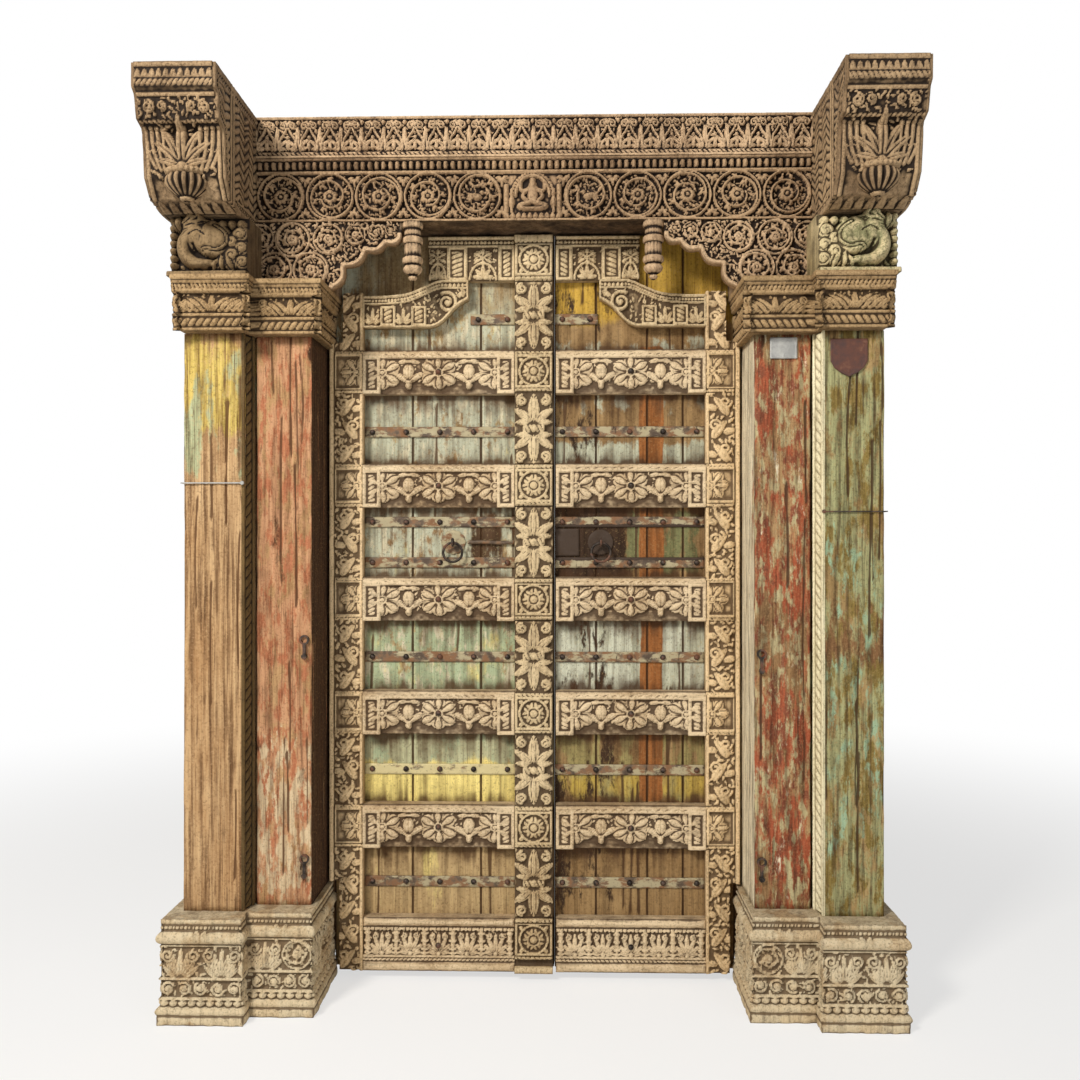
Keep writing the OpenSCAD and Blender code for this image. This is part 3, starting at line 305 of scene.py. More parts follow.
    def flower(self, cu, cv, r, petals, high, ground=0.0, turn=90.0):
        """A flower of broad blunt petals, each with an outline cut inside it, round a boss."""
        for k in range(petals):
            angle = turn + k * 360 / petals
            long = 0.9 + 0.16 * abs(math.cos(math.radians(angle)))
            self.petal(cu, cv, angle, long * r, 5.2 * r / petals, high, ground, start=0.08 * r, rib=0.0,
                       lines=(0.5,), blunt=1.6)
        self.ring(cu, cv, 0.22 * r, 0.12 * r, 1.1 * high, ground)
        self.dome(cu, cv, 0.17 * r, 1.25 * high, ground)

    def palmette(self, cu, cv, angle, long, leaves, spread, wide, high, ground=0.0):
        """A fan of leaves whose outer ones curl away."""
        for k in range(leaves):
            turn = (k / max(1, leaves - 1) - 0.5) * 2
            self.petal(cu, cv, angle + 0.5 * spread * turn, long * (1 - 0.25 * abs(turn)), wide, high, ground,
                       curl=0.18 * turn)

    def roundel(self, cu, cv, r, high, rng, ground=0.0, hand=1):
        """A vine that closes a circle and winds inwards round a flower, with lobed leaves to both sides."""
        turn = rng.uniform(0, 360)
        line = spiral(cu, cv, 0.92 * r, 0.36 * r, 1.35, turn, hand, 44)
        for k in range(3, 42, 3):
            step = line[k + 1] - line[k]
            lean = math.degrees(math.atan2(step[1], step[0])) + (62 if (k // 3) % 2 else -62)
            size = r * rng.uniform(0.3, 0.4)
            for lobe, share in ((-46, 0.72), (46, 0.72), (0, 1.0)):
                raised = high * rng.uniform(0.62, 0.85)
                self.petal(*line[k], lean + lobe, size * share, 0.42 * size, raised, ground)
        self.ring(cu, cv, 0.93 * r, 0.12 * r, high, ground)
        self.stroke(line, 0.13 * r, high, ground, 0.75)
        self.rosette(cu, cv, 0.36 * r, int(rng.integers(5, 7)), high, ground, turn)

    def fill(self, rng, u0, u1, v0, v1, tries, long, high, ground=0.0, slack=1.0):
        """Small leaves and berries where the ground still lies bare."""
        for _ in range(tries):
            cu, cv, a = rng.uniform(u0, u1), rng.uniform(v0, v1), rng.uniform(0, 360)
            size = long * rng.uniform(0.6, 1.1)
            spot = self.h[self.around(cu, cv, 0.3 * size)[0]]
            if spot.size == 0 or spot.max() > ground + slack:
                continue
            if rng.random() < 0.08:
                self.dome(cu, cv, 0.26 * size, 0.8 * high, ground)
            else:
                c, s = math.cos(math.radians(a)), math.sin(math.radians(a))
                self.petal(cu - 0.5 * size * c, cv - 0.5 * size * s, a, size, 0.42 * size, high, ground,
                           curl=rng.choice([-0.3, 0.3]))

    def age(self, rng, wear, rough):
        """Rounds the tool marks off, and adds knocks and an uneven surface."""
        soft = blurred(self.h, 1, 1)
        self.h = self.h + wear * (soft - self.h)
        rows, columns = self.h.shape
        knocks = lumps(rng, self.h.shape, max(2, rows // 9), max(2, columns // 9))
        fine = lumps(rng, self.h.shape, max(2, rows // 3), max(2, columns // 3))
        self.h += rough * (fine - 0.5) - 2.2 * rough * np.clip(knocks - 0.72, 0, 1)

    def hollow(self):
        """How far each point lies above (+) or below (-) its surroundings, less the grime and painted shade
        on it; where that is negative it is painted light.
        """
        step_u, step_v = self.u[1] - self.u[0], self.v[1] - self.v[0]
        total = 0.0
        for reach, depth in ((4.0, 3.2), (11.0, 8.0)):
            soft = blurred(self.h, max(1, int(reach / step_v)), max(1, int(reach / step_u)))
            total = total + (self.h - soft) / depth
        return np.clip(np.clip(total, -0.8, 0.8) - self.soot, -1, 1)


# ---- Solids: carvings set on blocks, and turned pieces


class Solid:
    """Points and faces of one piece, in millimetres, gathered before the mesh is made."""

    def __init__(self, side=RIGHT):
        self.side, self.count, self.shade = side, 0, DULL
        self.points, self.quads, self.fans, self.depths = [], [], [], []

    def add(self, points, depth=None):
        """Adds points and gives their numbers."""
        points = np.asarray(points, float).reshape(-1, 3)
        self.points.append(points)
        self.depths.append(np.zeros(len(points)) if depth is None else np.asarray(depth, float).ravel())
        self.count += len(points)
        return np.arange(self.count - len(points), self.count)

    def grid(self, points, depth=None, closed=False):
        """A sheet of quads; its rows and columns run so that the face looks outwards."""
        index = self.add(points, depth).reshape(points.shape[:2])
        loop = np.concatenate([index, index[:, :1]], 1) if closed else index
        quads = np.stack([loop[:-1, :-1], loop[:-1, 1:], loop[1:, 1:], loop[1:, :-1]], -1)
        self.quads.append(quads.reshape(-1, 4))
        return index

    def fan(self, *loop):
        """One flat face round a loop of points."""
        self.fans.append(np.concatenate([np.atleast_1d(part) for part in loop]).astype(int))

    def block(self, carving, origin, across, up, out, back, lean=0.0, shade=DULL):
        """A closed block with a carved face; back is its depth, and lean slants its first end."""
        origin, across, up, out = (np.asarray(x, float) for x in (origin, across, up, out))
        plane = origin + carving.U[..., None] * across + carving.V[..., None] * up
        index = self.grid(plane + carving.h[..., None] * out, carving.hollow())
        corners = np.array([plane[0, 0], plane[0, -1], plane[-1, -1], plane[-1, 0]]) - back * out
        corners[[0, 3]] += lean * across
        a, b, c, d = self.add(corners)
        self.shade = shade
        self.fan(b, index[0, ::-1], a)
        self.fan(c, index[::-1, -1], b)
        self.fan(d, index[-1], c)
        self.fan(a, index[:, 0], d)
        self.fan(a, d, c, b)

    def shaped(self, carving, inside, origin, across, up, out, back):
        """A closed block cut to an outline; inside gives the distance into it."""
        origin, across, up, out = (np.asarray(x, float) for x in (origin, across, up, out))
        f = inside(carving.U, carving.V)
        cells = np.maximum.reduce([f[:-1, :-1], f[1:, :-1], f[:-1, 1:], f[1:, 1:]]) > 0
        rows, columns = f.shape
        used = np.zeros(f.shape, bool)
        for i, j in ((0, 0), (0, 1), (1, 0), (1, 1)):
            used[i:rows - 1 + i, j:columns - 1 + j] |= cells
        U, V = carving.U.copy(), carving.V.copy()
        stray = used & (f < 0)
        for _ in range(3):  # draws the points outside back onto the outline
            u, v, e = U[stray], V[stray], 0.05
            g = inside(u, v)
            gu, gv = (inside(u + e, v) - g) / e, (inside(u, v + e) - g) / e
            size = np.maximum(gu ** 2 + gv ** 2, 0.2)
            U[stray], V[stray] = u - g * gu / size, v - g * gv / size
        plane = origin + U[..., None] * across + V[..., None] * up
        number = np.full(f.shape, -1)
        number[used] = np.arange(used.sum())
        first = self.add((plane + carving.h[..., None] * out)[used], carving.hollow()[used])[0]
        i, j = np.nonzero(cells)
        corners = [number[i, j], number[i, j + 1], number[i + 1, j + 1], number[i + 1, j]]
        self.quads.append(np.stack(corners, -1) + first)
        framed, follow = np.pad(cells, 1), {}
        for di, dj, p, q in ((-1, 0, (0, 0), (0, 1)), (1, 0, (1, 1), (1, 0)),
                             (0, -1, (1, 0), (0, 0)), (0, 1, (0, 1), (1, 1))):
            edge = ~framed[i + 1 + di, j + 1 + dj]
            a, b = (number[i[edge] + end[0], j[edge] + end[1]].tolist() for end in (p, q))
            for start, end in zip(a, b):
                follow.setdefault(start, []).append(end)
        rear = (plane - back * out)[used]
        while follow:  # each rim gets its side and its back
            here, loop = next(iter(follow)), []
            while here in follow:
                loop.append(here)
                ahead = follow[here].pop()
                if not follow[here]:
                    del follow[here]
                here = ahead
            behind, rim = self.add(rear[loop]), np.array(loop) + first
            self.quads.append(np.stack([rim, behind, np.roll(behind, -1), np.roll(rim, -1)], -1))
            self.fan(behind[::-1])

    def wrapped(self, carving, path, normals, floor):
        """A block whose carved skin follows a plan; u counts along the plan and v upwards."""
        out, base = (np.concatenate([xy, np.zeros((len(xy), 1))], 1) for xy in (normals, path))
        points = base[None] + carving.h[..., None] * out[None]
        points[..., 2] += floor + carving.V
        index = self.grid(points, carving.hollow())
        self.fan(index[0, ::-1])
        self.fan(index[-1])
        self.fan(index[:, 0], index[::-1, -1])

    def swept(self, carving, profile, normals, x0):
        """A skin that follows a profile in y and z; u counts along x and v along the profile."""
        points = np.zeros((*carving.U.shape, 3))
        points[..., 0] = x0 + carving.U
        points[..., 1:] = profile[:, None, :] + carving.h[..., None] * normals[:, None, :]
        return self.grid(points, carving.hollow())

    def turned(self, profile, place, segments=48, flute=None, axis="z"):
        """A turned form; flute(angle, share along) changes its radius."""
        profile = np.asarray(profile, float)
        angle = np.linspace(0, FULL_TURN, segments, endpoint=False)
        share = np.linspace(0, 1, len(profile))
        r = profile[:, :1] * np.ones((1, segments))
        # dip: how far the profile sinks below its neighbours; wood finishes paint shade into the dips and the
        # flutes
        dip = profile[:, 0] - blurred(profile[:, :1], 3, 0)[:, 0]
        depth = np.clip(dip / (0.12 * profile[:, 0].max()), -1, 1)[:, None] * np.ones(r.shape)
        if flute is not None:
            shape = flute(angle[None, :], share[:, None])
            r, depth = r * shape, np.clip(depth + 6 * (shape - 1), -1, 1)
        along = profile[:, 1:] * np.ones((1, segments))
        if axis == "z":
            points = np.stack([r * np.cos(angle), r * np.sin(angle), along], -1)
        else:
            points = np.stack([r * np.cos(angle), -along, r * np.sin(angle)], -1)
        index = self.grid(points + np.asarray(place, float), depth, closed=True)
        self.fan(index[0, ::-1])
        self.fan(index[-1])

    def tube(self, line, radius, closed=False, segments=12, wobble=None):
        """A round bar along a line of points."""
        line = np.asarray(line, float)
        ahead = np.roll(line, -1, 0) - np.roll(line, 1, 0) if closed else np.gradient(line, axis=0)
        ahead /= np.linalg.norm(ahead, axis=1)[:, None]
        first = np.cross(ahead, np.array([0.31, 0.77, 0.55]))
        first /= np.linalg.norm(first, axis=1)[:, None]
        second = np.cross(ahead, first)
        angle = np.linspace(0, FULL_TURN, segments, endpoint=False)
        r = radius * (np.ones((len(line), segments)) if wobble is None else wobble(len(line), segments))
        points = line[:, None] + r[..., None] * (np.cos(angle)[:, None] * first[:, None]
                                                 + np.sin(angle)[:, None] * second[:, None])
        if closed:
            points = np.concatenate([points, points[:1]])
        index = self.grid(points, closed=True)
        if not closed:
            self.fan(index[0, ::-1])
            self.fan(index[-1])

    def piece(self, name, body, nodes, slot, finish):
        """Makes the object, sets it on its body and hides the nodes it stands for."""
        points = np.concatenate(self.points) * MM
        quads, fans = np.concatenate(self.quads), self.fans
        if self.side == LEFT:
            points = points * (-1, 1, 1)
            quads, fans = quads[:, ::-1], [f[::-1] for f in fans]
        mesh = bpy.data.meshes.new(name)
        mesh.vertices.add(len(points))
        mesh.vertices.foreach_set("co", points.ravel())
        loops = np.concatenate([quads.ravel(), *fans]).astype(np.int32)
        totals = np.concatenate([np.full(len(quads), 4), [len(f) for f in fans]]).astype(np.int32)
        mesh.loops.add(len(loops))
        mesh.loops.foreach_set("vertex_index", loops)
        mesh.polygons.add(len(totals))
        starts = np.concatenate([[0], np.cumsum(totals)[:-1]]).astype(np.int32)
        mesh.polygons.foreach_set("loop_start", starts)
        mesh.polygons.foreach_set("loop_total", totals)
        mesh.polygons.foreach_set("use_smooth", np.arange(len(totals)) < len(quads))
        # the hollow value that wood finishes turn into painted shade and highlights; the flat faces take the
        # piece's shade
        depth = np.concatenate(self.depths)[loops]
        depth[quads.size:] = self.shade
        mesh.attributes.new("hollow", "FLOAT", "CORNER").data.foreach_set("value", depth)
        mesh.update(calc_edges=True)
        mesh.validate()
        mesh.materials.append(finish_for(finish))
        obj = bpy.data.objects.new(name, mesh)
        bpy.context.scene.collection.objects.link(obj)
        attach(obj, body)
        if nodes:
            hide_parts(*nodes)


def plan_path(corners, step):
    """Points, outward directions and arc lengths along a plan of straight runs, and where its corners lie."""
    corners = np.asarray(corners, float)
    runs = np.diff(corners, axis=0)
    size = np.linalg.norm(runs, axis=1)
    outward = np.stack([runs[:, 1], -runs[:, 0]], 1) / size[:, None]
    points, normals = [], []
    for k, run in enumerate(runs):
        count = max(2, int(round(size[k] / step)))
        for i in range(count):
            points.append(corners[k] + run * i / count)
            if i == 0 and k > 0:
                both = outward[k - 1] + outward[k]
                normals.append(both / (1 + outward[k - 1] @ outward[k] + 1e-9))
            else:
                normals.append(outward[k])
    points, normals = np.array([*points, corners[-1]]), np.array([*normals, outward[-1]])
    length = np.concatenate([[0], np.cumsum(np.linalg.norm(np.diff(points, axis=0), axis=1))])
    return points, normals, length, np.concatenate([[0], np.cumsum(size)])


def polygon_distance(corners):
    """A function that gives the distance into a polygon, negative outside."""
    corners = np.asarray(corners, float)

    def inside(u, v):
        best, crossed = np.full(np.shape(u), 1e9), np.zeros(np.shape(u), bool)
        for (ax, ay), (bx, by) in zip(corners, np.roll(corners, -1, 0)):
            dx, dy = bx - ax, by - ay
            t = np.clip(((u - ax) * dx + (v - ay) * dy) / (dx * dx + dy * dy + 1e-12), 0, 1)
            best = np.minimum(best, np.hypot(u - ax - t * dx, v - ay - t * dy))
            if dy != 0:
                crossed ^= ((ay > v) != (by > v)) & (u < ax + (v - ay) * dx / dy)
        return np.where(crossed, best, -best)

    return inside


# ---- Finishes: worn wood, paint and iron from nodes


class Nodes:
    """The node tree of a material or a world, built node by node."""

    def __init__(self, owner):
        owner.use_nodes = True
        self.tree = owner.node_tree
        self.tree.nodes.clear()

    def link(self, socket, value):
        """Joins a socket to another one, or gives it a fixed value."""
        if isinstance(value, bpy.types.NodeSocket):
            self.tree.links.new(value, socket)
        else:
            socket.default_value = value

    def add(self, kind, sockets=None, **settings):
        """A node with its settings, and a link or a value for each socket named."""
        node = self.tree.nodes.new("ShaderNode" + kind)
        for key, value in settings.items():
            setattr(node, key, value)
        for key, value in (sockets or {}).items():
            self.link(node.inputs[key], value)
        return node

    def math(self, operation, a, b):
        return self.add("Math", {0: a, 1: b}, operation=operation).outputs[0]

    def times(self, a, b):
        return self.math("MULTIPLY", a, b)


class Finish(Nodes):
    """One procedural material."""

    def __init__(self, name):
        self.material = bpy.data.materials.new(name)
        super().__init__(self.material)
        self.skin = self.add("BsdfPrincipled")
        self.out = self.add("OutputMaterial", {0: self.skin.outputs[0]})
        self.place = self.add("TexCoord").outputs["Object"]
        self.axes = self.add("SeparateXYZ", {0: self.place}).outputs
        self.hollow = self.add("Attribute", attribute_name="hollow").outputs["Fac"]

    def noise(self, scale, stretch=(1, 1, 1), detail=4.0, rough=0.6, shift=0.0, swirl=0.0):
        moved = {"Vector": self.place, "Scale": stretch, "Location": (shift, 0.7 * shift, 0.4 * shift)}
        place = self.add("Mapping", moved).outputs[0]
        sockets = {"Vector": place, "Scale": scale, "Detail": detail, "Roughness": rough, "Distortion": swirl}
        return self.add("TexNoise", sockets).outputs["Fac"]

    def span(self, value, low, high, to_low=0.0, to_high=1.0):
        """Value from low to high, eased onto another range."""
        sockets = {"Value": value, "From Min": low, "From Max": high, "To Min": to_low, "To Max": to_high}
        return self.add("MapRange", sockets, interpolation_type="SMOOTHSTEP").outputs["Result"]

    def mix(self, share, a, b, mode="MIX"):
        """Colour b over colour a; sockets 6 and 7 are the colours."""
        return self.add("Mix", {"Factor": share, 6: a, 7: b}, data_type="RGBA", blend_type=mode).outputs[2]

    def between(self, axis, low, high, soft):
        """1 between two places along an axis, fading over soft."""
        place = self.axes[axis]
        rise = self.span(place, low - soft, low + soft)
        return self.times(rise, self.span(place, high - soft, high + soft, 1.0, 0.0))

    def paint(self, under, colour, cover, scale=14.0, stretch=(1, 1, 0.35), shift=0.0, z=None, x=None,
              soft=0.08, crisp=0.05):
        """Flaking paint over what lies under it; cover is about the share that is left."""
        flakes = self.noise(scale, stretch, 6.0, 0.68, shift)
        for axis, limits in (("Z", z), ("X", x)):
            if limits:
                outside = self.math("SUBTRACT", 1.0, self.between(axis, *limits, soft))
                flakes = self.math("SUBTRACT", flakes, self.times(outside, 0.5))
        edge = 0.66 - 0.32 * cover
        return self.mix(self.span(flakes, edge - crisp, edge + crisp), under, colour)

    def surface(self, sockets, height, strength, depth):
        """Gives the skin its colour and sheen, and a fine relief; hands the material over."""
        relief = self.add("Bump", {"Strength": strength, "Distance": depth, "Height": height})
        for key, value in {**sockets, "Normal": relief.outputs[0]}.items():
            self.link(self.skin.inputs[key], value)
        return self.material


def wood_finish(name, light, mid, dark, layers=(), grain=(70, 70, 5), grain_share=0.45, pits=0.5, lows=0.9,
                highs=0.35, bump=0.7, dust=None, cracks=0.35, front=None):
    """Old timber: grain and stains, layers of worn paint, painted shade in the recesses, and on the ridges a
    painted highlight with the paleness of worn edges.
    """
    f = Finish(name)
    fibre = f.noise(1.0, grain, 7.0, 0.62, 0.0, 0.6)
    stain = f.noise(5.0, (1, 1, 0.5), 4.0, 0.6, 3.0)
    bare = colour = f.mix(f.span(stain, 0.32, 0.68), mid, light)
    for layer in layers:
        colour = f.paint(colour, **layer)
    if front is not None:  # paint lies on the front only
        colour = f.mix(f.span(f.axes["Y"], front, front + 0.003), colour, bare)
    streak = f.mix(f.span(fibre, 0.35, 0.62), dark, light)
    colour = f.mix(f.times(f.span(fibre, 0.62, 0.30), grain_share), colour, streak, "MULTIPLY")
    pore = f.noise(1.0, tuple(4.5 * g for g in grain), 3.0, 0.7, 9.0)
    colour = f.mix(f.span(pore, 0.62, 0.72, 0.0, pits), colour, dark)
    split = f.noise(1.0, tuple(1.6 * g if g > 20 else 0.5 * g for g in grain), 2.0, 0.5, 14.0, 0.3)
    line = f.math("ABSOLUTE", f.math("SUBTRACT", split, 0.5), 0.0)
    colour = f.mix(f.span(line, 0.0, 0.022, cracks, 0.0), colour, dark)
    speck = f.noise(170.0, detail=3.0, rough=0.7, shift=21.0)
    colour = f.mix(f.span(speck, 0.52, 0.7, 0.0, 0.5), colour, dark)
    colour = f.mix(f.span(speck, 0.46, 0.3, 0.0, 0.4), colour, light)
    patchy = f.noise(22.0, detail=3.0, rough=0.6, shift=5.0)
    # deep: the hollow value (recesses, grime and painted shade), shifted at random
    deep = f.math("SUBTRACT", f.hollow, f.times(f.math("SUBTRACT", patchy, 0.5), 0.5))
    # painted shade: the recesses are darkened towards the dark colour, as far as lows
    colour = f.mix(f.span(deep, 0.05, -0.42, 0.0, lows), colour, dark)
    if dust:
        colour = f.mix(f.span(deep, -0.1, -0.6, 0.0, 0.25), colour, dust)
    # painted highlight with worn-edge paleness: the ridges are lightened towards the light colour, as far as
    # highs
    ridge = f.times(f.span(deep, 0.1, 0.5, 0.0, highs), f.span(speck, 0.6, 0.44, 0.25, 1.15))
    colour = f.mix(f.times(ridge, f.span(patchy, 0.36, 0.62, 1.15, 0.6)), colour, light)
    sheen = f.span(fibre, 0.3, 0.7, 0.9, 0.7)
    marks = f.math("ADD", f.times(pore, -0.35), f.times(speck, -0.5))
    return f.surface({"Base Color": colour, "Roughness": sheen, "Specular IOR Level": 0.25},
                     f.math("ADD", fibre, marks), bump, 0.0035)


def metal_finish(name, light, dark, rust, rust_share, metal, rough, layers=()):
    """Beaten metal with rust or old paint on it."""
    f = Finish(name)
    cloud = f.noise(30.0, detail=5.0, rough=0.62, shift=1.0)
    speck = f.noise(160.0, detail=4.0, rough=0.6, shift=2.0)
    rusted = f.span(cloud, 0.62 - 0.3 * rust_share, 0.74 - 0.3 * rust_share)
    colour = f.mix(rusted, f.mix(f.span(cloud, 0.35, 0.65), dark, light), rust)
    for layer in layers:
        colour = f.paint(colour, **layer)
    colour = f.mix(f.span(speck, 0.58, 0.72, 0.0, 0.5), colour, dark)
    sheen = f.span(cloud, 0.3, 0.7, rough - 0.1, rough + 0.25)
    shine = f.span(rusted, 0.0, 1.0, metal, 0.05)
    return f.surface({"Base Color": colour, "Metallic": shine, "Roughness": sheen},
                     f.math("ADD", cloud, f.times(speck, 0.4)), 0.5, 0.0015)


# Colours are of 0 to 255, or the name of a paint setting; places along x and z are in metres.


def coat(colour, cover, **where):
    """One layer of paint: its colour, about the share that is left, and where and how it lies."""
    return dict(colour=colour, cover=cover, **where)


def wood(light, mid, dark, *layers, **more):
    return wood_finish, dict(light=light, mid=mid, dark=dark, layers=layers, **more)


def metal(light, dark, rust, rust_share, shine, rough, *layers):
    return metal_finish, dict(light=light, dark=dark, rust=rust, rust_share=rust_share, metal=shine,
                              rough=rough, layers=layers)


def strap_iron(layer):
    """Flat iron under worn pale paint, with a layer of its own for each leaf."""
    return metal((138, 120, 98), (74, 58, 44), (128, 92, 62), 0.6, 0.25, 0.65,
                 coat((170, 158, 126), 0.42, scale=40.0, stretch=(0.5, 1, 1), shift=3.0), layer)


BROAD = dict(scale=20.0, stretch=(1, 1, 0.5))  # broad flakes, little longer than wide
BOARDS = dict(grain=(60, 60, 2.5), front=side_box("planks_left")[2] * MM + 0.012)
POSTS = dict(grain_share=0.6, cracks=0.6)
FINISHES = {
    "lintel_wood": wood((208, 178, 142), (142, 114, 86), (34, 22, 13), lows=1.0, highs=0.65),
    # the lintel's wood: a darker copy of lintel_wood, painted shade from the frieze and the brackets
    "vine_wood": wood((184, 154, 119), (128, 101, 75), (34, 22, 13), lows=1.0, highs=0.65),
    "bracket_wood": wood((184, 156, 120), (116, 92, 66), (34, 23, 13), lows=1.0, highs=0.6),
    "green_beast_wood": wood((222, 204, 160), (176, 156, 112), (46, 34, 18),
                             coat((138, 136, 98), 0.5, scale=9.0), highs=0.6),
    "dark_beast_wood": wood((146, 122, 88), (100, 80, 55), (30, 20, 11), lows=1.0, highs=0.6),
    "capital_wood": wood((190, 160, 118), (142, 115, 78), (46, 31, 17), highs=0.55),
    "plinth_wood": wood((216, 196, 160), (178, 150, 112), (70, 50, 32),
                        coat((214, 198, 166), 0.55, scale=11.0, stretch=(1, 1, 1)),
                        lows=0.85, highs=0.5, dust=(150, 128, 98)),
    "rail_wood": wood((226, 204, 168), (188, 161, 124), (62, 42, 26), grain=(6, 70, 70), highs=0.6),
    "leaf_wood": wood((220, 198, 158), (178, 152, 113), (58, 40, 24), highs=0.6),
    # the stiles' wood: a lighter copy of the rail wood, painted light against the shadow the jambs cast on
    # them
    "stile_wood": wood((236, 208, 164), (198, 168, 124), (70, 49, 30), lows=0.85, highs=0.6),
    "bare_post": wood((206, 172, 128), (176, 136, 92), (92, 62, 36),
                      coat((214, 190, 104), 0.62, z=(1.48, 1.85), soft=0.12, scale=9.0),
                      coat((182, 190, 150), 0.38, z=(1.35, 1.78), soft=0.1, shift=4.0, scale=16.0),
                      grain=(70, 70, 2.2), grain_share=0.9, pits=0.35, bump=1.0, cracks=0.7),
    "red_post_left": wood((196, 158, 112), (168, 130, 88), (86, 56, 34),
                          coat((198, 150, 112), 0.62, scale=24.0),
                          coat((180, 114, 80), 0.4, scale=40.0, shift=6.0),
                          coat((214, 192, 156), 0.5, scale=46.0, shift=2.0, z=(0.2, 0.8), soft=0.15),
                          # painted shade: a near-black coat over the inner face of the left jamb
                          coat((58, 36, 18), 1.6, x=(-0.5895, -0.5), soft=0.002), **POSTS),
    "red_post_right": wood((184, 150, 106), (146, 112, 74), (70, 46, 28),
                           coat("red", 0.5, scale=26.0, shift=2.0),
                           coat((136, 76, 54), 0.34, scale=44.0, shift=8.0),
                           coat((190, 178, 136), 0.34, scale=48.0, shift=11.0),
                           # painted light: a near-white coat over the inner face of the right jamb
                           coat((246, 236, 206), 1.6, x=(0.5, 0.5895), soft=0.002, scale=30.0),
                           grain_share=0.65, cracks=0.6),
    "green_post": wood((176, 148, 100), (140, 112, 70), (64, 44, 24),
                       coat((166, 166, 120), 0.62, scale=22.0, shift=1.0),
                       coat((136, 116, 60), 0.4, scale=26.0, shift=5.0),
                       coat((158, 184, 150), 0.3, scale=34.0, shift=3.0, z=(0.3, 1.4), soft=0.2),
                       coat((132, 96, 62), 0.5, scale=20.0, shift=7.0, z=(0.85, 1.15), soft=0.12), **POSTS),
    # painted shade: the left bead strip is coloured dark, as if in shade
    "dark_beads": wood((120, 96, 58), (84, 66, 36), (28, 22, 12), highs=0.4),
    "pale_beads": wood((250, 242, 208), (230, 218, 176), (112, 94, 58), lows=0.6, highs=0.5),
    "boards_left": wood(
        (186, 164, 118), (142, 112, 76), (78, 53, 30),
        coat("aqua", 0.72, z=(1.0, 2.2), soft=0.1, **BROAD),
        coat("mint", 0.75, z=(0.5, 1.06), soft=0.06, shift=4.0, **BROAD),
        coat((214, 206, 176), 0.34, z=(0.6, 2.0), soft=0.1, shift=15.0, scale=34.0),
        coat((192, 164, 118), 0.9, z=(0.15, 0.38), soft=0.03, shift=8.0, scale=9.0, crisp=0.1),
        coat((190, 190, 152), 0.7, z=(0.58, 0.74), soft=0.04, shift=17.0, scale=20.0),
        coat("yellow", 1.6, z=(0.5, 0.6), soft=0.04, shift=6.0, scale=12.0, crisp=0.08),
        coat((150, 128, 92), 0.5, z=(1.86, 2.2), soft=0.06, shift=9.0, scale=7.0, crisp=0.1),
        coat((84, 62, 42), 0.62, x=(-0.2, 0.1), z=(1.14, 1.34), soft=0.05, shift=2.0), **BOARDS),
    "boards_right": wood(
        (170, 140, 96), (126, 96, 58), (70, 46, 26),
        coat("aqua", 0.95, z=(0.78, 1.05), soft=0.06, shift=3.0, **BROAD),
        coat("aqua", 0.4, z=(1.58, 1.85), soft=0.06, shift=3.0, **BROAD),
        coat("aqua", 0.95, z=(1.44, 1.54), soft=0.04, shift=13.0, **BROAD),
        coat((208, 210, 188), 0.6, z=(0.78, 1.04), soft=0.05, shift=17.0, scale=24.0),
        coat((158, 146, 94), 0.6, z=(0.48, 0.74), soft=0.05, shift=12.0, scale=18.0),
        coat((198, 160, 66), 0.85, z=(1.86, 2.2), soft=0.05, scale=8.0, shift=1.0, crisp=0.1),
        coat((196, 168, 80), 0.6, z=(0.48, 0.62), soft=0.06, shift=6.0, scale=8.0, crisp=0.08),
        coat((50, 34, 20), 1.9, x=(0.0, 0.25), z=(1.13, 1.35), soft=0.03, shift=2.0, scale=24.0),
        coat((118, 120, 80), 0.8, x=(0.26, 0.48), z=(1.14, 1.34), soft=0.03, shift=8.0, scale=20.0),
        coat((156, 98, 50), 1.1, x=(0.3, 0.37), z=(0.5, 1.8), soft=0.012, shift=5.0, scale=5.0), **BOARDS),
    "plain_timber": wood((128, 98, 66), (98, 72, 46), (46, 32, 20)),
    "strap_iron_left": strap_iron(coat((204, 190, 142), 0.7, scale=30.0, stretch=(0.5, 1, 1), shift=5.0,
                                       z=(0.55, 0.64), soft=0.02)),
    "strap_iron_right": strap_iron(coat((58, 42, 28), 1.6, z=(1.19, 1.29), soft=0.006, scale=50.0)),
    "dark_iron": metal((92, 82, 74), (38, 32, 28), (96, 60, 40), 0.45, 0.75, 0.5),
    "tag_metal": metal((178, 178, 174), (142, 142, 139), (140, 128, 110), 0.1, 0.3, 0.5),
    "brown_plate": metal((96, 58, 44), (62, 34, 26), (120, 84, 66), 0.15, 0.1, 0.55),
}
MADE = {}


def shade_of(colour):
    """A colour of the table as a shader takes it."""
    return tuple(getattr(bpy.context.scene.door_paint, colour)) if isinstance(colour, str) else tint(*colour)


def finish_for(name):
    """The named finish, made the first time it is asked for."""
    if name not in MADE:
        make, recipe = FINISHES[name]
        recipe = {key: shade_of(value) if key in ("light", "mid", "dark", "rust", "dust") else value
                  for key, value in recipe.items()}
        recipe["layers"] = [{**layer, "colour": shade_of(layer["colour"])} for layer in recipe["layers"]]
        MADE[name] = make(name, **recipe)
    return MADE[name]


# ---- Settings


class DoorCarvingSettings(bpy.types.PropertyGroup):
    """Fineness and wear of the carving."""

    step: bpy.props.FloatProperty(
        name="Tool Step", description="Distance between carved points, in millimetres",
        default=3.2, min=1.5, max=8.0)
    wear: bpy.props.FloatProperty(
        name="Wear", description="How far the carving is worn round",
        default=0.3, min=0.0, max=1.0, subtype="FACTOR")
    rough: bpy.props.FloatProperty(
        name="Roughness", description="Unevenness of the surface, in millimetres",
        default=0.9, min=0.0, max=4.0)
    seed: bpy.props.IntProperty(
        name="Seed", description="Picks another set of knocks and small leaves", default=7)


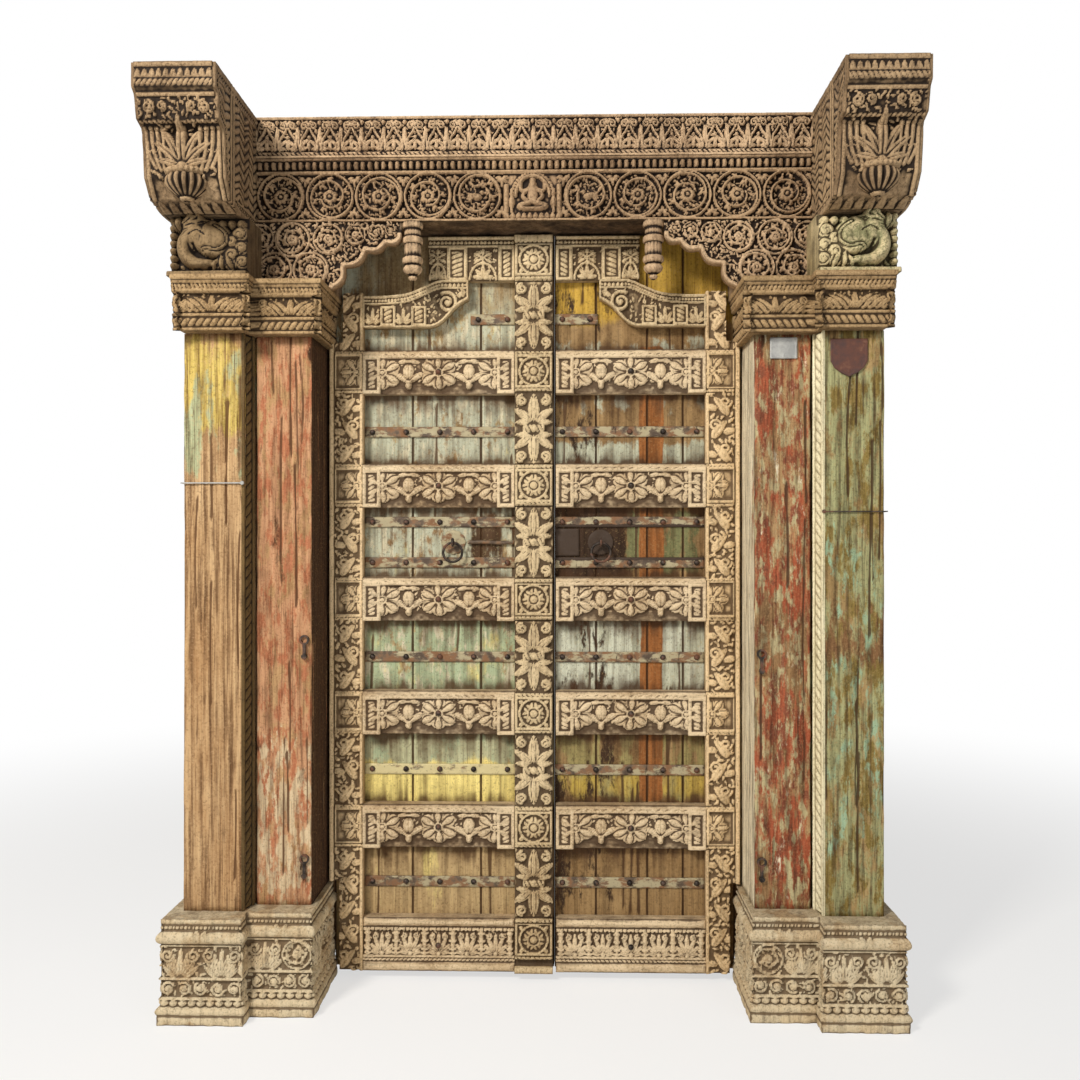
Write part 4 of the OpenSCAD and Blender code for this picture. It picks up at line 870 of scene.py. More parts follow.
class DoorPaintSettings(bpy.types.PropertyGroup):
    """Main colours of the paint."""

    aqua: bpy.props.FloatVectorProperty(
        name="Aqua Paint", description="Pale paint of the boards", subtype="COLOR", size=4,
        default=tint(188, 190, 166), min=0, max=1)
    mint: bpy.props.FloatVectorProperty(
        name="Mint Paint", description="Green paint of the boards", subtype="COLOR", size=4,
        default=tint(172, 186, 150), min=0, max=1)
    yellow: bpy.props.FloatVectorProperty(
        name="Yellow Paint", description="Yellow paint", subtype="COLOR", size=4,
        default=tint(248, 228, 142), min=0, max=1)
    red: bpy.props.FloatVectorProperty(
        name="Red Paint", description="Red paint of the jambs", subtype="COLOR", size=4,
        default=tint(170, 88, 58), min=0, max=1)


class DoorStageSettings(bpy.types.PropertyGroup):
    """Place and lens of the camera."""

    across: bpy.props.FloatProperty(
        name="Across", description="Camera place to the right of the middle", default=0.082, unit="LENGTH")
    distance: bpy.props.FloatProperty(
        name="Distance", description="Camera distance from the middle of the door", default=2.656,
        unit="LENGTH")
    height: bpy.props.FloatProperty(
        name="Height", description="Camera height above the floor", default=1.243, unit="LENGTH")
    pitch: bpy.props.FloatProperty(
        name="Pitch", description="Camera tilt upwards", default=math.radians(0.07), subtype="ANGLE")
    turn: bpy.props.FloatProperty(
        name="Turn", description="Camera turn to the left", default=math.radians(1.3), subtype="ANGLE")
    lens: bpy.props.FloatProperty(
        name="Lens", description="Focal length on a 36 mm sensor", default=33.33,
        subtype="DISTANCE_CAMERA")


# ---- Frame pieces


def rng_for(key):
    """A random source of its own for each piece."""
    start = sum(ord(c) * (i + 1) for i, c in enumerate(key))
    return np.random.default_rng(bpy.context.scene.door_carving.seed * 1000 + start)


class Workpiece:
    """A CAD node on the bench: its box in millimetres, its random source and the solid made for it."""

    def __init__(self, node, side=RIGHT, key=None):
        settings = bpy.context.scene.door_carving
        self.step, self.wear, self.rough = settings.step, settings.wear, settings.rough
        self.node, self.side, self.rng, self.solid = node, side, rng_for(key or node), Solid(side)
        self.x0, self.x1, self.y0, self.y1, self.z0, self.z1 = side_box(node, side)
        self.wide, self.deep, self.tall = self.x1 - self.x0, self.y1 - self.y0, self.z1 - self.z0
        self.middle = ((self.x0 + self.x1) / 2, (self.y0 + self.y1) / 2, (self.z0 + self.z1) / 2)

    def sheet(self, fine=1.0, ground=0.0):
        """A carving as big as the front; fine is the distance of its points in tool steps."""
        return Carving.sheet(self.wide, self.tall, self.step * fine, ground=ground)

    def plan(self, corners, fine, rows, ground=0.0):
        """A carving round a plan, and where the plan's corners lie on it."""
        self.path, self.normals, u, marks = plan_path(corners, self.step * fine)
        return Carving(u, np.linspace(0, self.tall, rows), ground), marks

    def wrap(self, c):
        """The block whose skin is the carving made round a plan."""
        self.solid.wrapped(c, self.path, self.normals, self.z0)

    def age(self, c, wear=1.0, rough=1.0, top=-CLEAR, low=None):
        """Wears a carving, and keeps it between two heights."""
        c.age(self.rng, self.wear * wear, self.rough * rough)
        c.h = np.clip(c.h, low, top)

    def face(self, c, relief=0.0, shade=DULL):
        """The block with the carving on its front, raised by at most relief."""
        start = (self.x0, self.y0 + relief, self.z0)
        self.solid.block(c, start, *FRONT, self.deep - relief, shade=shade)

    def cut(self, c, inside):
        """The same, cut to an outline."""
        self.solid.shaped(c, inside, (self.x0, self.y0, self.z0), *FRONT, self.deep)

    def piece(self, title, slot, finish, body="frame"):
        """Makes the piece; braces in its title and body stand for the side."""
        side = SIDE_NAME[self.side]
        self.solid.piece(title.format(side), body.format(side), [self.node], slot, finish)


def both(name):
    """The left and the right one of a pair of nodes, on the bench."""
    return [Workpiece(node_for(name, side), side) for side in (LEFT, RIGHT)]


def shaft_lines(side):
    """Inner face, joint, outer face, fronts and back of the posts."""
    jamb, post = (side_box(node_for(name, side), side) for name in ("inner_jamb", "outer_pilaster"))
    return jamb[0], jamb[1], post[1], jamb[2], post[2], post[3]


class DOOR_OT_carve_plinths(bpy.types.Operator):
    """Carve the banded plinths under the posts"""

    bl_idname = "door.carve_plinths"
    bl_label = "Carve Plinths"

    def execute(self, context):
        foot = 9.0
        for w in both("plinth"):
            _, joint, _, jamb_y, post_y, _ = shaft_lines(w.side)
            x0, x1, outer = w.x0 + foot, w.x1 - foot, w.y0 + foot
            inner = outer + (jamb_y - post_y)
            corners = [(x0, w.y1), (x0, inner), (joint, inner), (joint, outer), (x1, outer), (x1, w.y1)]
            c, marks = w.plan(corners, 1.15, int(w.tall / (w.step * 1.05)), -10.0)
            for k, (u0, u1) in enumerate(zip(marks[:-1], marks[1:])):
                self.run(c, w.rng, u0 + 1, u1 - 1, k in (0, 1))
            c.h += 5 * np.clip(1 - c.V / 40, 0, 1) * (lumps(w.rng, c.h.shape, 16, 70) - 0.8)
            w.age(c, rough=1.6, top=foot - CLEAR)
            w.wrap(c)
            w.piece("Plinth_{}", "bleached_carving", "plinth_wood")
        return {"FINISHED"}

    def run(self, c, rng, u0, u1, leafy):
        """All the bands of one face, from the floor up."""
        wide, mid, a, b, ground = u1 - u0, (u0 + u1) / 2, u0 - 2, u1 + 2, -10
        c.slab(a, b, 0, 24, 7.5, 6)
        c.roll(25, 46, 10, -2, a, b)
        c.beads(u0, u1, 47, 63, 23, 12, -7)
        c.slab(a, b, 64, 69, 2)
        c.slab(a, b, 115, 121, 2)
        count = max(1, round(wide / 45))
        for k in range(count):
            cu, r = u0 + wide * (k + 0.5) / count, min(22, 0.48 * wide / count)
            scroll = spiral(cu, 92, r * 0.86, r * 0.34, 1.2, rng.uniform(0, 360), 1 if k % 2 else -1)
            c.stroke(scroll, 0.3 * r, 12, -9)
            c.dome(cu, 92, r * 0.36, 13, -9)
            c.rosette(cu, 92, r * 0.5, 5, 9, -9, rng.uniform(0, 60))
        c.fill(rng, u0, u1, 71, 114, int(wide / 2), 14, 10, ground, 2)
        leaves = max(1, round(wide / 105))
        half = 0.5 * wide / leaves
        for k in range(leaves):
            cu = u0 + wide * (k + 0.5) / leaves
            if leafy and k % 2 == 0:
                c.roundel(cu, 162, min(40, half), 14, rng, ground, hand=1 if k % 4 else -1)
                continue
            c.palmette(cu, 122, 90, 76, 5, 60, 17, 14, ground)
            for hand in HANDS:
                for turn, long in ((38, 70), (58, 62), (80, 52)):
                    c.petal(cu + hand * 3, 124, 90 - hand * turn, long, 20, 13, ground, curl=hand * 0.42)
                r = min(17, half * 0.4)
                volute = spiral(cu + hand * half * 0.62, 178, r, 3, 1.5, 90 + hand * 90, hand)
                c.stroke(volute, 7, 13, ground)
        c.fill(rng, u0, u1, 123, 198, int(wide / 1.5), 20, 12, ground, 2)
        c.slab(a, b, 199, 204, 0)
        c.roll(206, 239, 15, -9, a, b)
        if wide > 80:
            for angle in (0, 180):
                c.petal(mid, 222, angle, 34, 22, 8, 1)
            for hand in HANDS:
                c.stroke(spiral(mid + hand * 13, 228, 10, 2, 1.4, 90, hand), 6, 9, 1)
        c.teeth(u0, u1, 243, 252, 10, 7, 0.6, -9)
        c.slab(a, b, 254, 275, -2, 12)


class DOOR_OT_dress_posts(bpy.types.Operator):
    """Dress the posts with grain, cracks and the bead strip between them"""

    bl_idname = "door.dress_posts"
    bl_label = "Dress Posts"

    # the left bead strip takes the finish with painted shade
    looks = {LEFT: ("carved_wood", "bare_post", "dark_beads"),
             RIGHT: ("green_painted_wood", "green_post", "pale_beads")}

    def execute(self, context):
        for post, jamb in zip(both("outer_pilaster"), both("inner_jamb")):
            slot, finish, beads = self.looks[post.side]
            inner, joint, outer, jamb_y, post_y, back = shaft_lines(post.side)
            edge, start, ease, corner = joint + 14, joint + 0.4, outer - 2, jamb_y + 16
            self.shaft(post, [(start, back), (start, corner), (edge, corner), (edge, post_y + 2),
                              (ease, post_y + 2), (ease, back)], 2.6)
            post.piece("Outer_pilaster_{}", slot, finish)
            face, ease = inner + 1.5, jamb_y + 1.5
            self.shaft(jamb, [(face, back), (face, ease), (joint, ease), (joint, back)], 1.6)
            jamb.piece("Inner_jamb_{}", "red_painted_wood", node_for("red_post", jamb.side))
            name = SIDE_NAME[jamb.side]
            strip = Workpiece(jamb.node, jamb.side, f"strip {name}")
            across = np.array([edge - joint, post_y - jamb_y, 0.0])
            wide, tall = np.linalg.norm(across), strip.tall
            c = Carving.sheet(wide, tall, strip.step, strip.step * 1.05, -7)
            c.slab(0, 9, 0, tall, -1)
            c.slab(wide - 9, wide, 0, tall, -1)
            c.rope(10, wide - 10, 6, tall - 6, 27, 6.5, -7, 0.9, upright=True)
            c.beads(0, 8, 4, tall - 4, 13, 2.0, -1.4, upright=True)
            strip.age(c)
            out = (across[1] / wide, -across[0] / wide, 0)
            strip.solid.block(c, (joint, jamb_y, strip.z0), across / wide, (0, 0, 1), out, 9)
            strip.solid.piece(f"Bead_strip_{name}", "frame", [], slot, beads)
        return {"FINISHED"}

    def shaft(self, w, plan, grain):
        """One post, its face open-grained and cracked along the grain."""
        c, marks = w.plan(plan, 1.1, 84)
        rng, shape, columns = w.rng, c.h.shape, len(c.u)
        broad = grain * (lumps(rng, shape, 9, columns // 3) - 1)
        c.h += broad + 0.5 * grain * (lumps(rng, shape, 22, columns) - 1)
        for _ in range(34):
            cu, cv, run = rng.uniform(0, c.u[-1]), rng.uniform(0, w.tall), rng.uniform(120, 420)
            c.groove(crack(rng, cu, cv, run, 4, 6), 7.5, rng.uniform(1.5, 4.5))
        for mark in marks[1:-1]:
            worn = np.exp(-((c.U - mark) / 5) ** 2)
            c.h -= worn * (1.2 + 3.5 * np.clip(lumps(rng, shape, 30, 6) - 0.45, 0, 1))
        c.h = np.minimum(c.h, 0.0)
        w.wrap(c)


class DOOR_OT_carve_capitals(bpy.types.Operator):
    """Carve the capitals with their leaf frieze and rope rows"""

    bl_idname = "door.carve_capitals"
    bl_label = "Carve Capitals"

    def execute(self, context):
        for w in both("capital"):
            _, joint, _, jamb_y, post_y, _ = shaft_lines(w.side)
            inner, step_x = w.y0 + (jamb_y - post_y), joint - 16
            c, marks = w.plan([(w.x0, w.y1), (w.x0, inner), (step_x, inner), (step_x, w.y0), (w.x1, w.y0),
                               (w.x1, w.y1)], 1.0, int(w.tall / w.step), -27.0)
            for u0, u1 in zip(marks[:-1], marks[1:]):
                self.run(c, w.rng, u0, u1)
            w.age(c)
            w.wrap(c)
            w.piece("Capital_{}", "carved_wood", "capital_wood")
        return {"FINISHED"}

    def run(self, c, rng, u0, u1):
        """The rows of one face: ropes and mouldings below and above a frieze of leaning leaves."""
        wide, mid, a, b, ground = u1 - u0, (u0 + u1) / 2, u0 - 1, u1 + 1, -27
        c.rope(u0, u1, 10, 35, 20, 13, ground, 0.8)
        c.roll(36, 45, 10, -24, a, b)
        c.rope(u0, u1, 107, 121, 11, 10, -16, -0.6)
        for v0, v1, high in ((0, 9, -20), (98, 106, -10), (122, 131, -6), (131, 145, -0.5)):
            c.slab(a, b, v0, v1, high)
        c.petal(mid, 47, 90, 50, 20, 18, ground)
        count = max(2, round((wide / 2 - 8) / 21))
        for hand in HANDS:
            for k in range(count):
                cu, share = mid + hand * (4 + (wide / 2 - 18) * k / count), k / count
                lean = 90 - hand * (24 + 16 * share)
                c.petal(cu, 47, lean, 58, 16, 17 - 2 * share, ground, curl=-hand * 0.42)
                c.petal(cu + hand * 9, 47, 90 - hand * 52, 28, 11, 13, ground, curl=-hand * 0.3)
            end = mid + hand * (wide / 2 - 14)
            c.ring(end, 81, 8, 7, 16, ground)
            c.dome(end, 81, 4.5, 17, ground)
        c.fill(rng, u0, u1, 48, 96, int(wide / 3), 14, 11, ground)


class DOOR_OT_carve_lower_brackets(bpy.types.Operator):
    """Carve the curled heads under the upper brackets"""

    bl_idname = "door.carve_lower_brackets"
    bl_label = "Carve Lower Brackets"

    looks = {LEFT: ("dark_carving", "dark_beast_wood"), RIGHT: ("green_painted_wood", "green_beast_wood")}

    def execute(self, context):
        relief = 58.0
        for w in both("lower_bracket"):
            c = w.sheet()
            c.slab(0, w.wide, 0, 0.1 * w.tall, 38)
            self.beast(c, w.rng, w.wide, w.tall)
            w.age(c, rough=1.5, top=relief - 0.3)
            w.face(c, relief)
            w.piece("Lower_bracket_{}", *self.looks[w.side])
        return {"FINISHED"}

    def beast(self, c, rng, wide, tall):
        """A head in profile: cheek and brow, a trunk down the outer edge, a crest and a ruff of curls."""
        def line(*places, count=24):
            return wave([(a * wide, b * tall) for a, b in places], count)

        curls = ((0.09, 0.7, 0.12), (0.2, 0.56, 0.13), (0.07, 0.47, 0.12), (0.19, 0.36, 0.13),
                 (0.06, 0.24, 0.12))
        for a, b, r in curls:
            c.dome(a * wide, b * tall, r * wide, 30, 4)
            c.groove(spiral(a * wide, b * tall, 0.8 * r * wide, 0.15 * r * wide, 1.3, 40), 5, 6)
        c.beads(0.02 * wide, 0.5 * wide, 0.8 * tall, 0.95 * tall, 0.11 * wide, 30, 4)
        c.beads(0.9 * wide, wide, 0.14 * tall, tall, 0.13 * tall, 26, 3, upright=True)
        for foot, turn, long in ((0.16, 64, 0.34), (0.3, 84, 0.3), (0.42, 106, 0.24)):
            c.petal(foot * wide, 0.09 * tall, turn, long * tall, 0.17 * wide, 40, 5, lines=(0.45,), rib=0.0)
        c.dome(0.46 * wide, 0.6 * tall, 0.27 * wide, 46, 6, 0.95)
        c.dome(0.64 * wide, 0.66 * tall, 0.21 * wide, 47, 6)
        trunk = line((0.64, 0.74), (0.77, 0.56), (0.77, 0.36), (0.65, 0.22), (0.46, 0.2), count=22)
        c.stroke(trunk, 0.27 * wide, 47, 6, 0.5)
        c.groove(line((0.66, 0.52), (0.62, 0.4), (0.5, 0.31), (0.4, 0.3)), 9, 14)
        c.groove(spiral(0.45 * wide, 0.24 * tall, 0.08 * wide, 0.02 * wide, 1.1, 250, 1), 5, 8)
        collar = line((0.4, 0.84), (0.27, 0.72), (0.25, 0.54), (0.36, 0.43), (0.5, 0.45), (0.56, 0.4),
                      (0.52, 0.35), count=30)
        c.groove(collar, 15, 9)
        c.groove(collar, 6, -12)
        c.groove(trunk + (0.07 * wide, 0), 4, 4)
        c.dome(0.6 * wide, 0.66 * tall, 0.045 * wide, 53, 4)
        c.groove(line((0.5, 0.66), (0.6, 0.73), (0.7, 0.66)), 5, 6)
        for turn in (146, 168, 190):
            c.petal(0.84 * wide, 0.78 * tall, turn, 0.42 * wide, 0.13 * wide, 52, 4, curl=-0.1, rib=0.25)
        c.petal(0.83 * wide, 0.74 * tall, 84, 0.27 * tall, 0.22 * wide, 53, 3, lines=(0.45,), rib=0.0)
        c.stroke(spiral(0.64 * wide, 0.93 * tall, 0.09 * wide, 0.02 * wide, 1.3, 0, 1), 0.07 * wide, 44, 4)
        c.fill(rng, 0, wide, 0.08 * tall, tall, 160, 22, 18, 0, 8)


class DOOR_OT_carve_upper_brackets(bpy.types.Operator):
    """Carve the big brackets with leaf spray and pot"""

    bl_idname = "door.carve_upper_brackets"
    bl_label = "Carve Upper Brackets"

    steps = ((195, 0), (118, 14), (84, 58), (70, 172), (36, 186), (24, 240), (8, 252))

    def execute(self, context):
        for w in both("upper_bracket"):
            self.bracket(w)
            w.piece("Upper_bracket_{}", "dark_carving", "bracket_wood")
        return {"FINISHED"}

    def bracket(self, w):
        """The stepped front, the pot under it and both cheeks."""
        solid, rim, cheek = w.solid, self.steps[-1][0], 8
        shape = np.array([(w.y0 + y, w.z0 + z) for y, z in self.steps] + [(w.y0 + rim, w.z1)])
        marks = np.concatenate([[0], np.cumsum(np.linalg.norm(np.diff(shape, axis=0), axis=1))])
        v = np.linspace(0, marks[-1], int(marks[-1] / w.step))
        profile = np.stack([np.interp(v, marks, shape[:, 0]), np.interp(v, marks, shape[:, 1])], 1)
        slope = np.gradient(blurred(profile, 2, 0), axis=0)
        normals = np.stack([-slope[:, 1], slope[:, 0]], 1) / np.linalg.norm(slope, axis=1)[:, None]
        wide, x0, x1 = w.wide - 2 * cheek, w.x0 + cheek, w.x1 - cheek
        c = Carving(np.linspace(0, wide, int(wide / w.step)), v)
        self.front(c, w.rng, wide, marks)
        c.age(w.rng, w.wear, w.rough * 1.3)
        index = solid.swept(c, profile, normals, x0)
        skin = solid.points[-1]
        skin[:, 1], skin[:, 2] = np.maximum(skin[:, 1], w.y0 + 0.3), np.clip(skin[:, 2], w.z0, w.z1)
        corners = [(x, w.y1, z) for z in (w.z0, w.z1) for x in (x0, x1)]
        low_left, low_right, top_left, top_right = solid.add(corners)
        solid.fan(low_right, top_right, index[::-1, -1])
        solid.fan(top_left, low_left, index[:, 0])
        solid.fan(index[-1], top_right, top_left)
        solid.fan(index[0, ::-1], low_left, low_right)
        solid.fan(low_right, low_left, top_left, top_right)
        self.pot(solid, ((x0 + x1) / 2, shape[2, 0] + 14, w.z0 + 2))
        outline = np.concatenate([[(w.y1, w.z0)], shape, [(w.y1, w.z1)]])
        self.cheek(w, outline, x0 - cheek, -1, w.y1)
        self.cheek(w, outline, x1 + cheek, 1, w.y0)

    def front(self, c, rng, wide, marks):
        """Spray, folds and mouldings of the front."""
        mid, (foot, neck, waist, brow, rope, lip, top) = wide / 2, marks[1:]
        for hand in HANDS:
            for k in range(4):
                low, edge = mid + hand * (30 + 13 * k), mid + hand * (42 + 15 * k)
                fold = wave([(low, neck + 8 + 5 * k), (edge, neck + 62), (edge + hand * 5, waist + 8)], 10)
                c.stroke(fold, 14, 19 - 3 * k, -3)
                c.rope(min(low, edge) - 2, max(low, edge) + 2, neck + 58, neck + 67, 8, 20 - 3 * k, -2)
            for turn, long, width in ((60, 74, 22), (36, 104, 26), (17, 126, 24)):
                c.petal(mid, neck + 20, 90 - hand * turn, long, width, 24, 0, curl=-hand * 0.22)
            c.stroke(spiral(mid + hand * 0.36 * wide, brow + 26, 15, 3, 1.6, 90, hand), 7, 14, -1)
            c.stroke(spiral(mid + hand * 0.19 * wide, brow + 28, 12, 3, 1.5, 270, -hand), 6, 13, -1)
            border = mid + hand * (wide / 2 - 6)
            c.stroke([(border, foot), (border, waist)], 12, 9, -2)
        c.petal(mid, neck + 18, 90, waist - neck + 34, 32, 28, 0)
        c.dome(mid, neck + 22, 19, 26, 0)
        c.rope(0, wide, brow - 15, brow - 2, 12, 10, -2, -0.6)
        c.slab(0, wide, rope - 5, rope + 4, 6)
        c.rope(0, wide, lip + 2, lip + 20, 13, 6.5, -1, 0.9)
        c.slab(0, wide, lip + 21, lip + 25, 5)
        c.lotus(0, wide, top - 34, top - 14, 17, 7, 0)
        c.slab(0, wide, top - 12, top, 6.5)
        c.fill(rng, 0, wide, brow + 2, rope - 4, 120, 17, 12, 0, 2)
        c.fill(rng, 0, wide, neck, brow - 14, 220, 20, 14, 0, 3)
        c.lotus(0, wide, 8, foot - 6, 26, 7, -1)

    def pot(self, solid, place):
        """A gadrooned pot with a beaded rim and a knob below, half sunk in the bracket."""
        belly = [(4 + 50 * math.sin(math.pi * min(1.0, 0.05 + 0.68 * t)) ** 0.75, 8 + 56 * t)
                 for t in np.linspace(0, 1, 28)]
        rim = [(38, 60), (48, 62), (54, 67), (55, 71), (50, 76), (40, 78), (22, 80)]
        knob = [(3, 0), (14, 2), (19, 8), (15, 14), (9, 17)]
        solid.turned(belly, place, 108, lambda a, s: 1 - 0.3 * (1 - np.abs(np.sin(8 * a))) ** 1.5
                     * np.sin(np.pi * s) ** 0.4)
        solid.turned(rim, place, 108, lambda a, s: 1 - 0.12 * (1 - np.abs(np.cos(13 * a)))
                     * np.sin(np.pi * s))
        solid.turned(knob, place, 40, lambda a, s: 1 - 0.1 * np.abs(np.sin(4 * a)))

    def cheek(self, w, outline, x, way, start):
        """Leaf grain, a beaded border and stepped mouldings on one side of the bracket."""
        u = (start - outline[:, 0]) if way < 0 else (outline[:, 0] - start)
        edge = np.stack([u, outline[:, 1] - w.z0], 1)
        wide, tall = u.max(), edge[:, 1].max()
        c = Carving.sheet(wide, tall, w.step * (1.15 if way < 0 else 2.2))
        inside = polygon_distance(edge if way > 0 else edge[::-1])
        d, front = inside(c.U, c.V), (wide - c.U) if way < 0 else c.U
        ridges = c.V + 0.55 * np.abs((front % 76) - 38) + 34 * lumps(w.rng, c.h.shape, 7, 7)
        leaf = 7 * np.sqrt(2 * np.abs((ridges / 22) % 1 - 0.5))
        leaf = leaf * (0.55 + 0.45 * np.abs(np.sin(np.pi * front / 38)) ** 0.4)
        c.h = np.where(d > 30, -7.5 + leaf, -1.0)
        dots = np.clip(np.sin(np.pi * front / 6.5) * np.sin(np.pi * c.V / 6.5), 0, 1)
        c.h = np.where((d > 13) & (d < 26), -6 + 5 * np.sqrt(dots), c.h)
        flutes = -7 + 7 * np.abs(np.sin(np.pi * (front - 112) / 19))
        c.h = np.where((front < 150) & (front > 112), flutes, c.h)
        c.rope(0, wide, tall - 30, tall - 16, 13, 5, -6)
        c.slab(0, wide, tall - 14, tall, -0.8)
        w.age(c)
        w.solid.shaped(c, inside, (x, start, w.z0), (0, way, 0), (0, 0, 1), (way, 0, 0), 12)


class DOOR_OT_carve_frieze(bpy.types.Operator):
    """Carve the beam of upright leaves"""

    bl_idname = "door.carve_frieze"
    bl_label = "Carve Frieze"

    def execute(self, context):
        w, relief = Workpiece("frieze_beam", key="frieze"), 27.0
        wide, tall, c = w.wide, w.tall, w.sheet(0.92)
        c.h += 6 * c.V / tall
        c.slab(0, wide, 0, 6, 18)
        c.rope(0, wide, 6, 17, 13, 11, 4)
        c.slab(0, wide, 17, 20, 12)
        count = round(wide / 58)
        pitch = wide / count
        for k in range(count + 1):
            cu, gap, lean = pitch * k, pitch * k + 0.5 * pitch, w.rng.uniform(-4, 4)
            c.petal(cu, 20, 90 + lean, 76, 15, 20, 3)
            for hand in HANDS:
                c.petal(cu, 20, 90 - hand * 30 + lean, 56, 13, 18, 2, curl=-hand * 0.3)
                c.petal(cu, 20, 90 - hand * 58 + lean, 34, 12, 16, 2, curl=-hand * 0.2)
                stem = wave([(cu + hand * u, v) for u, v in ((4, 24), (10, 52), (19, 66), (27, 82))], 14)
                c.stroke(stem, 6.5, 18, 3)
                c.stroke(spiral(cu + hand * 17, 88, 11, 2.5, 1.3, 90 - hand * 90, hand), 5.5, 19, 3)
            c.dome(cu, 98, 6, 19, 3)
            for turn in (-48, -16, 16, 48):
                c.petal(gap, 104, -90 + turn, 30 - 0.12 * abs(turn), 10, 17, 3, curl=0.004 * turn)
            c.petal(gap, 22, 90, 34, 12, 17, 3)
            c.dome(gap, 58, 5, 18, 3)
        c.slab(0, wide, tall - 5, tall, 20)
        c.fill(w.rng, 0, wide, 22, tall - 6, 2500, 13, 14, 5, 4)
        w.age(c, 0.8, top=relief - 0.3, low=0.0)
        w.face(c, relief)
        w.piece("Leaf_frieze", "dark_carving", "lintel_wood")
        return {"FINISHED"}


class DOOR_OT_carve_lintel(bpy.types.Operator):
    """Carve the vine lintel with its bead course and the seated figure"""

    bl_idname = "door.carve_lintel"
    bl_label = "Carve Lintel"

    def execute(self, context):
        w, relief, panel, count = Workpiece("scroll_lintel", key="lintel"), 27.0, 84.0, 5
        wide, tall, c = w.wide, w.tall, w.sheet(0.92)
        mid, field = wide / 2, tall - 38
        pitch, line = (mid - panel) / count, field / 2 + 2
        for v0, v1, high in ((0, 7, 22), (field - 4, field + 3, 20), (tall - 6, tall, 22)):
            c.slab(0, wide, v0, v1, high)
        c.teeth(0, wide, field + 6, tall - 8, 19, 24, 0.62)
        c.beads(0, wide, field + 6, tall - 8, 19, 25, 1)
        for hand in HANDS:
            for k in range(count):
                cu = mid + hand * (panel + pitch * (k + 0.5))
                c.roundel(cu, line, 0.5 * pitch, 22, w.rng, 1, hand if k % 2 else -hand)
                for u in (cu - 0.5 * pitch, cu + 0.5 * pitch):
                    for v, up in ((17, 90), (field - 14, -90)):
                        c.palmette(u, v, up, 30, 5, 150, 11, 19, 1)
            self.bird(c, mid + hand * (panel + 0.5 * pitch), line, hand)
        self.figure(c, mid, panel, field)
        for u0, u1 in ((0, mid - panel), (mid + panel, wide)):
            c.fill(w.rng, u0, u1, 8, field - 5, 2600, 15, 17, 1, 5)
        # painted shade darkens the lintel beyond the figure's panel and, with dirt, along the bead course at
        # the top; painted light brightens the figure's panel
        aside = np.clip((np.abs(c.U - mid) - panel) / 150, 0, 1)
        c.soot = 0.24 * aside - 0.3 * (aside <= 0) + 0.5 * (c.V > field + 4)
        w.age(c, 0.8, top=relief - 0.3, low=0.0)
        # the lintel's sides and soffit in painted shade
        w.face(c, relief, -0.26)
        w.piece("Vine_lintel", "dark_carving", "vine_wood")
        return {"FINISHED"}

    def bird(self, c, cu, cv, hand):
        """A small bird that looks towards the middle."""
        part = c.near(cu - 24, cu + 24, cv - 22, cv + 22)
        c.h[part] = np.minimum(c.h[part], 6)
        c.dome(cu, cv - 3, 15, 18, 4, 0.7)
        c.dome(cu - hand * 13, cv + 9, 7, 19, 4)
        c.petal(cu - hand * 18, cv + 9, 90 + hand * 100, 9, 5, 14, 4)
        for k in range(4):
            c.petal(cu + hand * 8, cv - 2, 90 - hand * (60 + 22 * k), 26, 9, 15, 4)
        c.petal(cu - hand * 2, cv - 1, 90 - hand * 70, 20, 11, 22, 4)

    def figure(self, c, mid, panel, field):
        """A seated four-armed figure in an arched niche, over a lotus row."""
        ground = 8
        c.slab(mid - panel + 3, mid + panel - 3, 8, field - 4, ground)
        c.lotus(mid - panel + 6, mid + panel - 6, 9, 25, 15, 13, 7)
        for hand in HANDS:
            u, shaft = mid + hand * (panel - 12), mid + hand * (panel - 27)
            c.stroke([(u, 28), (u, 96)], 13, 13, ground)
            c.beads(u - 7, u + 7, 28, 96, 11, 16, 7, upright=True)
            c.stroke([(shaft, 28), (shaft, 86)], 8, 11, ground)
            c.dome(shaft, 52, 8, 15, ground, 2.2)
            c.dome(shaft, 76, 6, 16, ground)
        c.stroke(half_round(mid, 70, 46, 54, 22), 9, 15, ground)
        for u, v in half_round(mid, 70, 56, 62, 22):
            c.dome(u, v, 4.5, 10, ground)
        c.dome(mid, 98, 11, 17, ground, 1.15)
        c.dome(mid, 111, 9, 15, ground, 0.9)
        c.stroke([(mid, 58), (mid, 84)], 32, 15, ground, 1.15)
        limbs = ((((14, 84), (26, 70), (17, 56)), 10, 16, 1.0), (((15, 86), (31, 84), (33, 103)), 9, 14, 1.0),
                 (((6, 50), (34, 44), (30, 35), (-4, 34)), 14, 17, 0.7))
        for hand in HANDS:
            for points, wide, high, end in limbs:
                c.stroke(wave([(mid + hand * u, v) for u, v in points]), wide, high, ground, end)
            c.dome(mid + hand * 33, 106, 6, 15, ground)
            c.dome(mid + hand * 5.0, 90, 3.4, 14, ground)


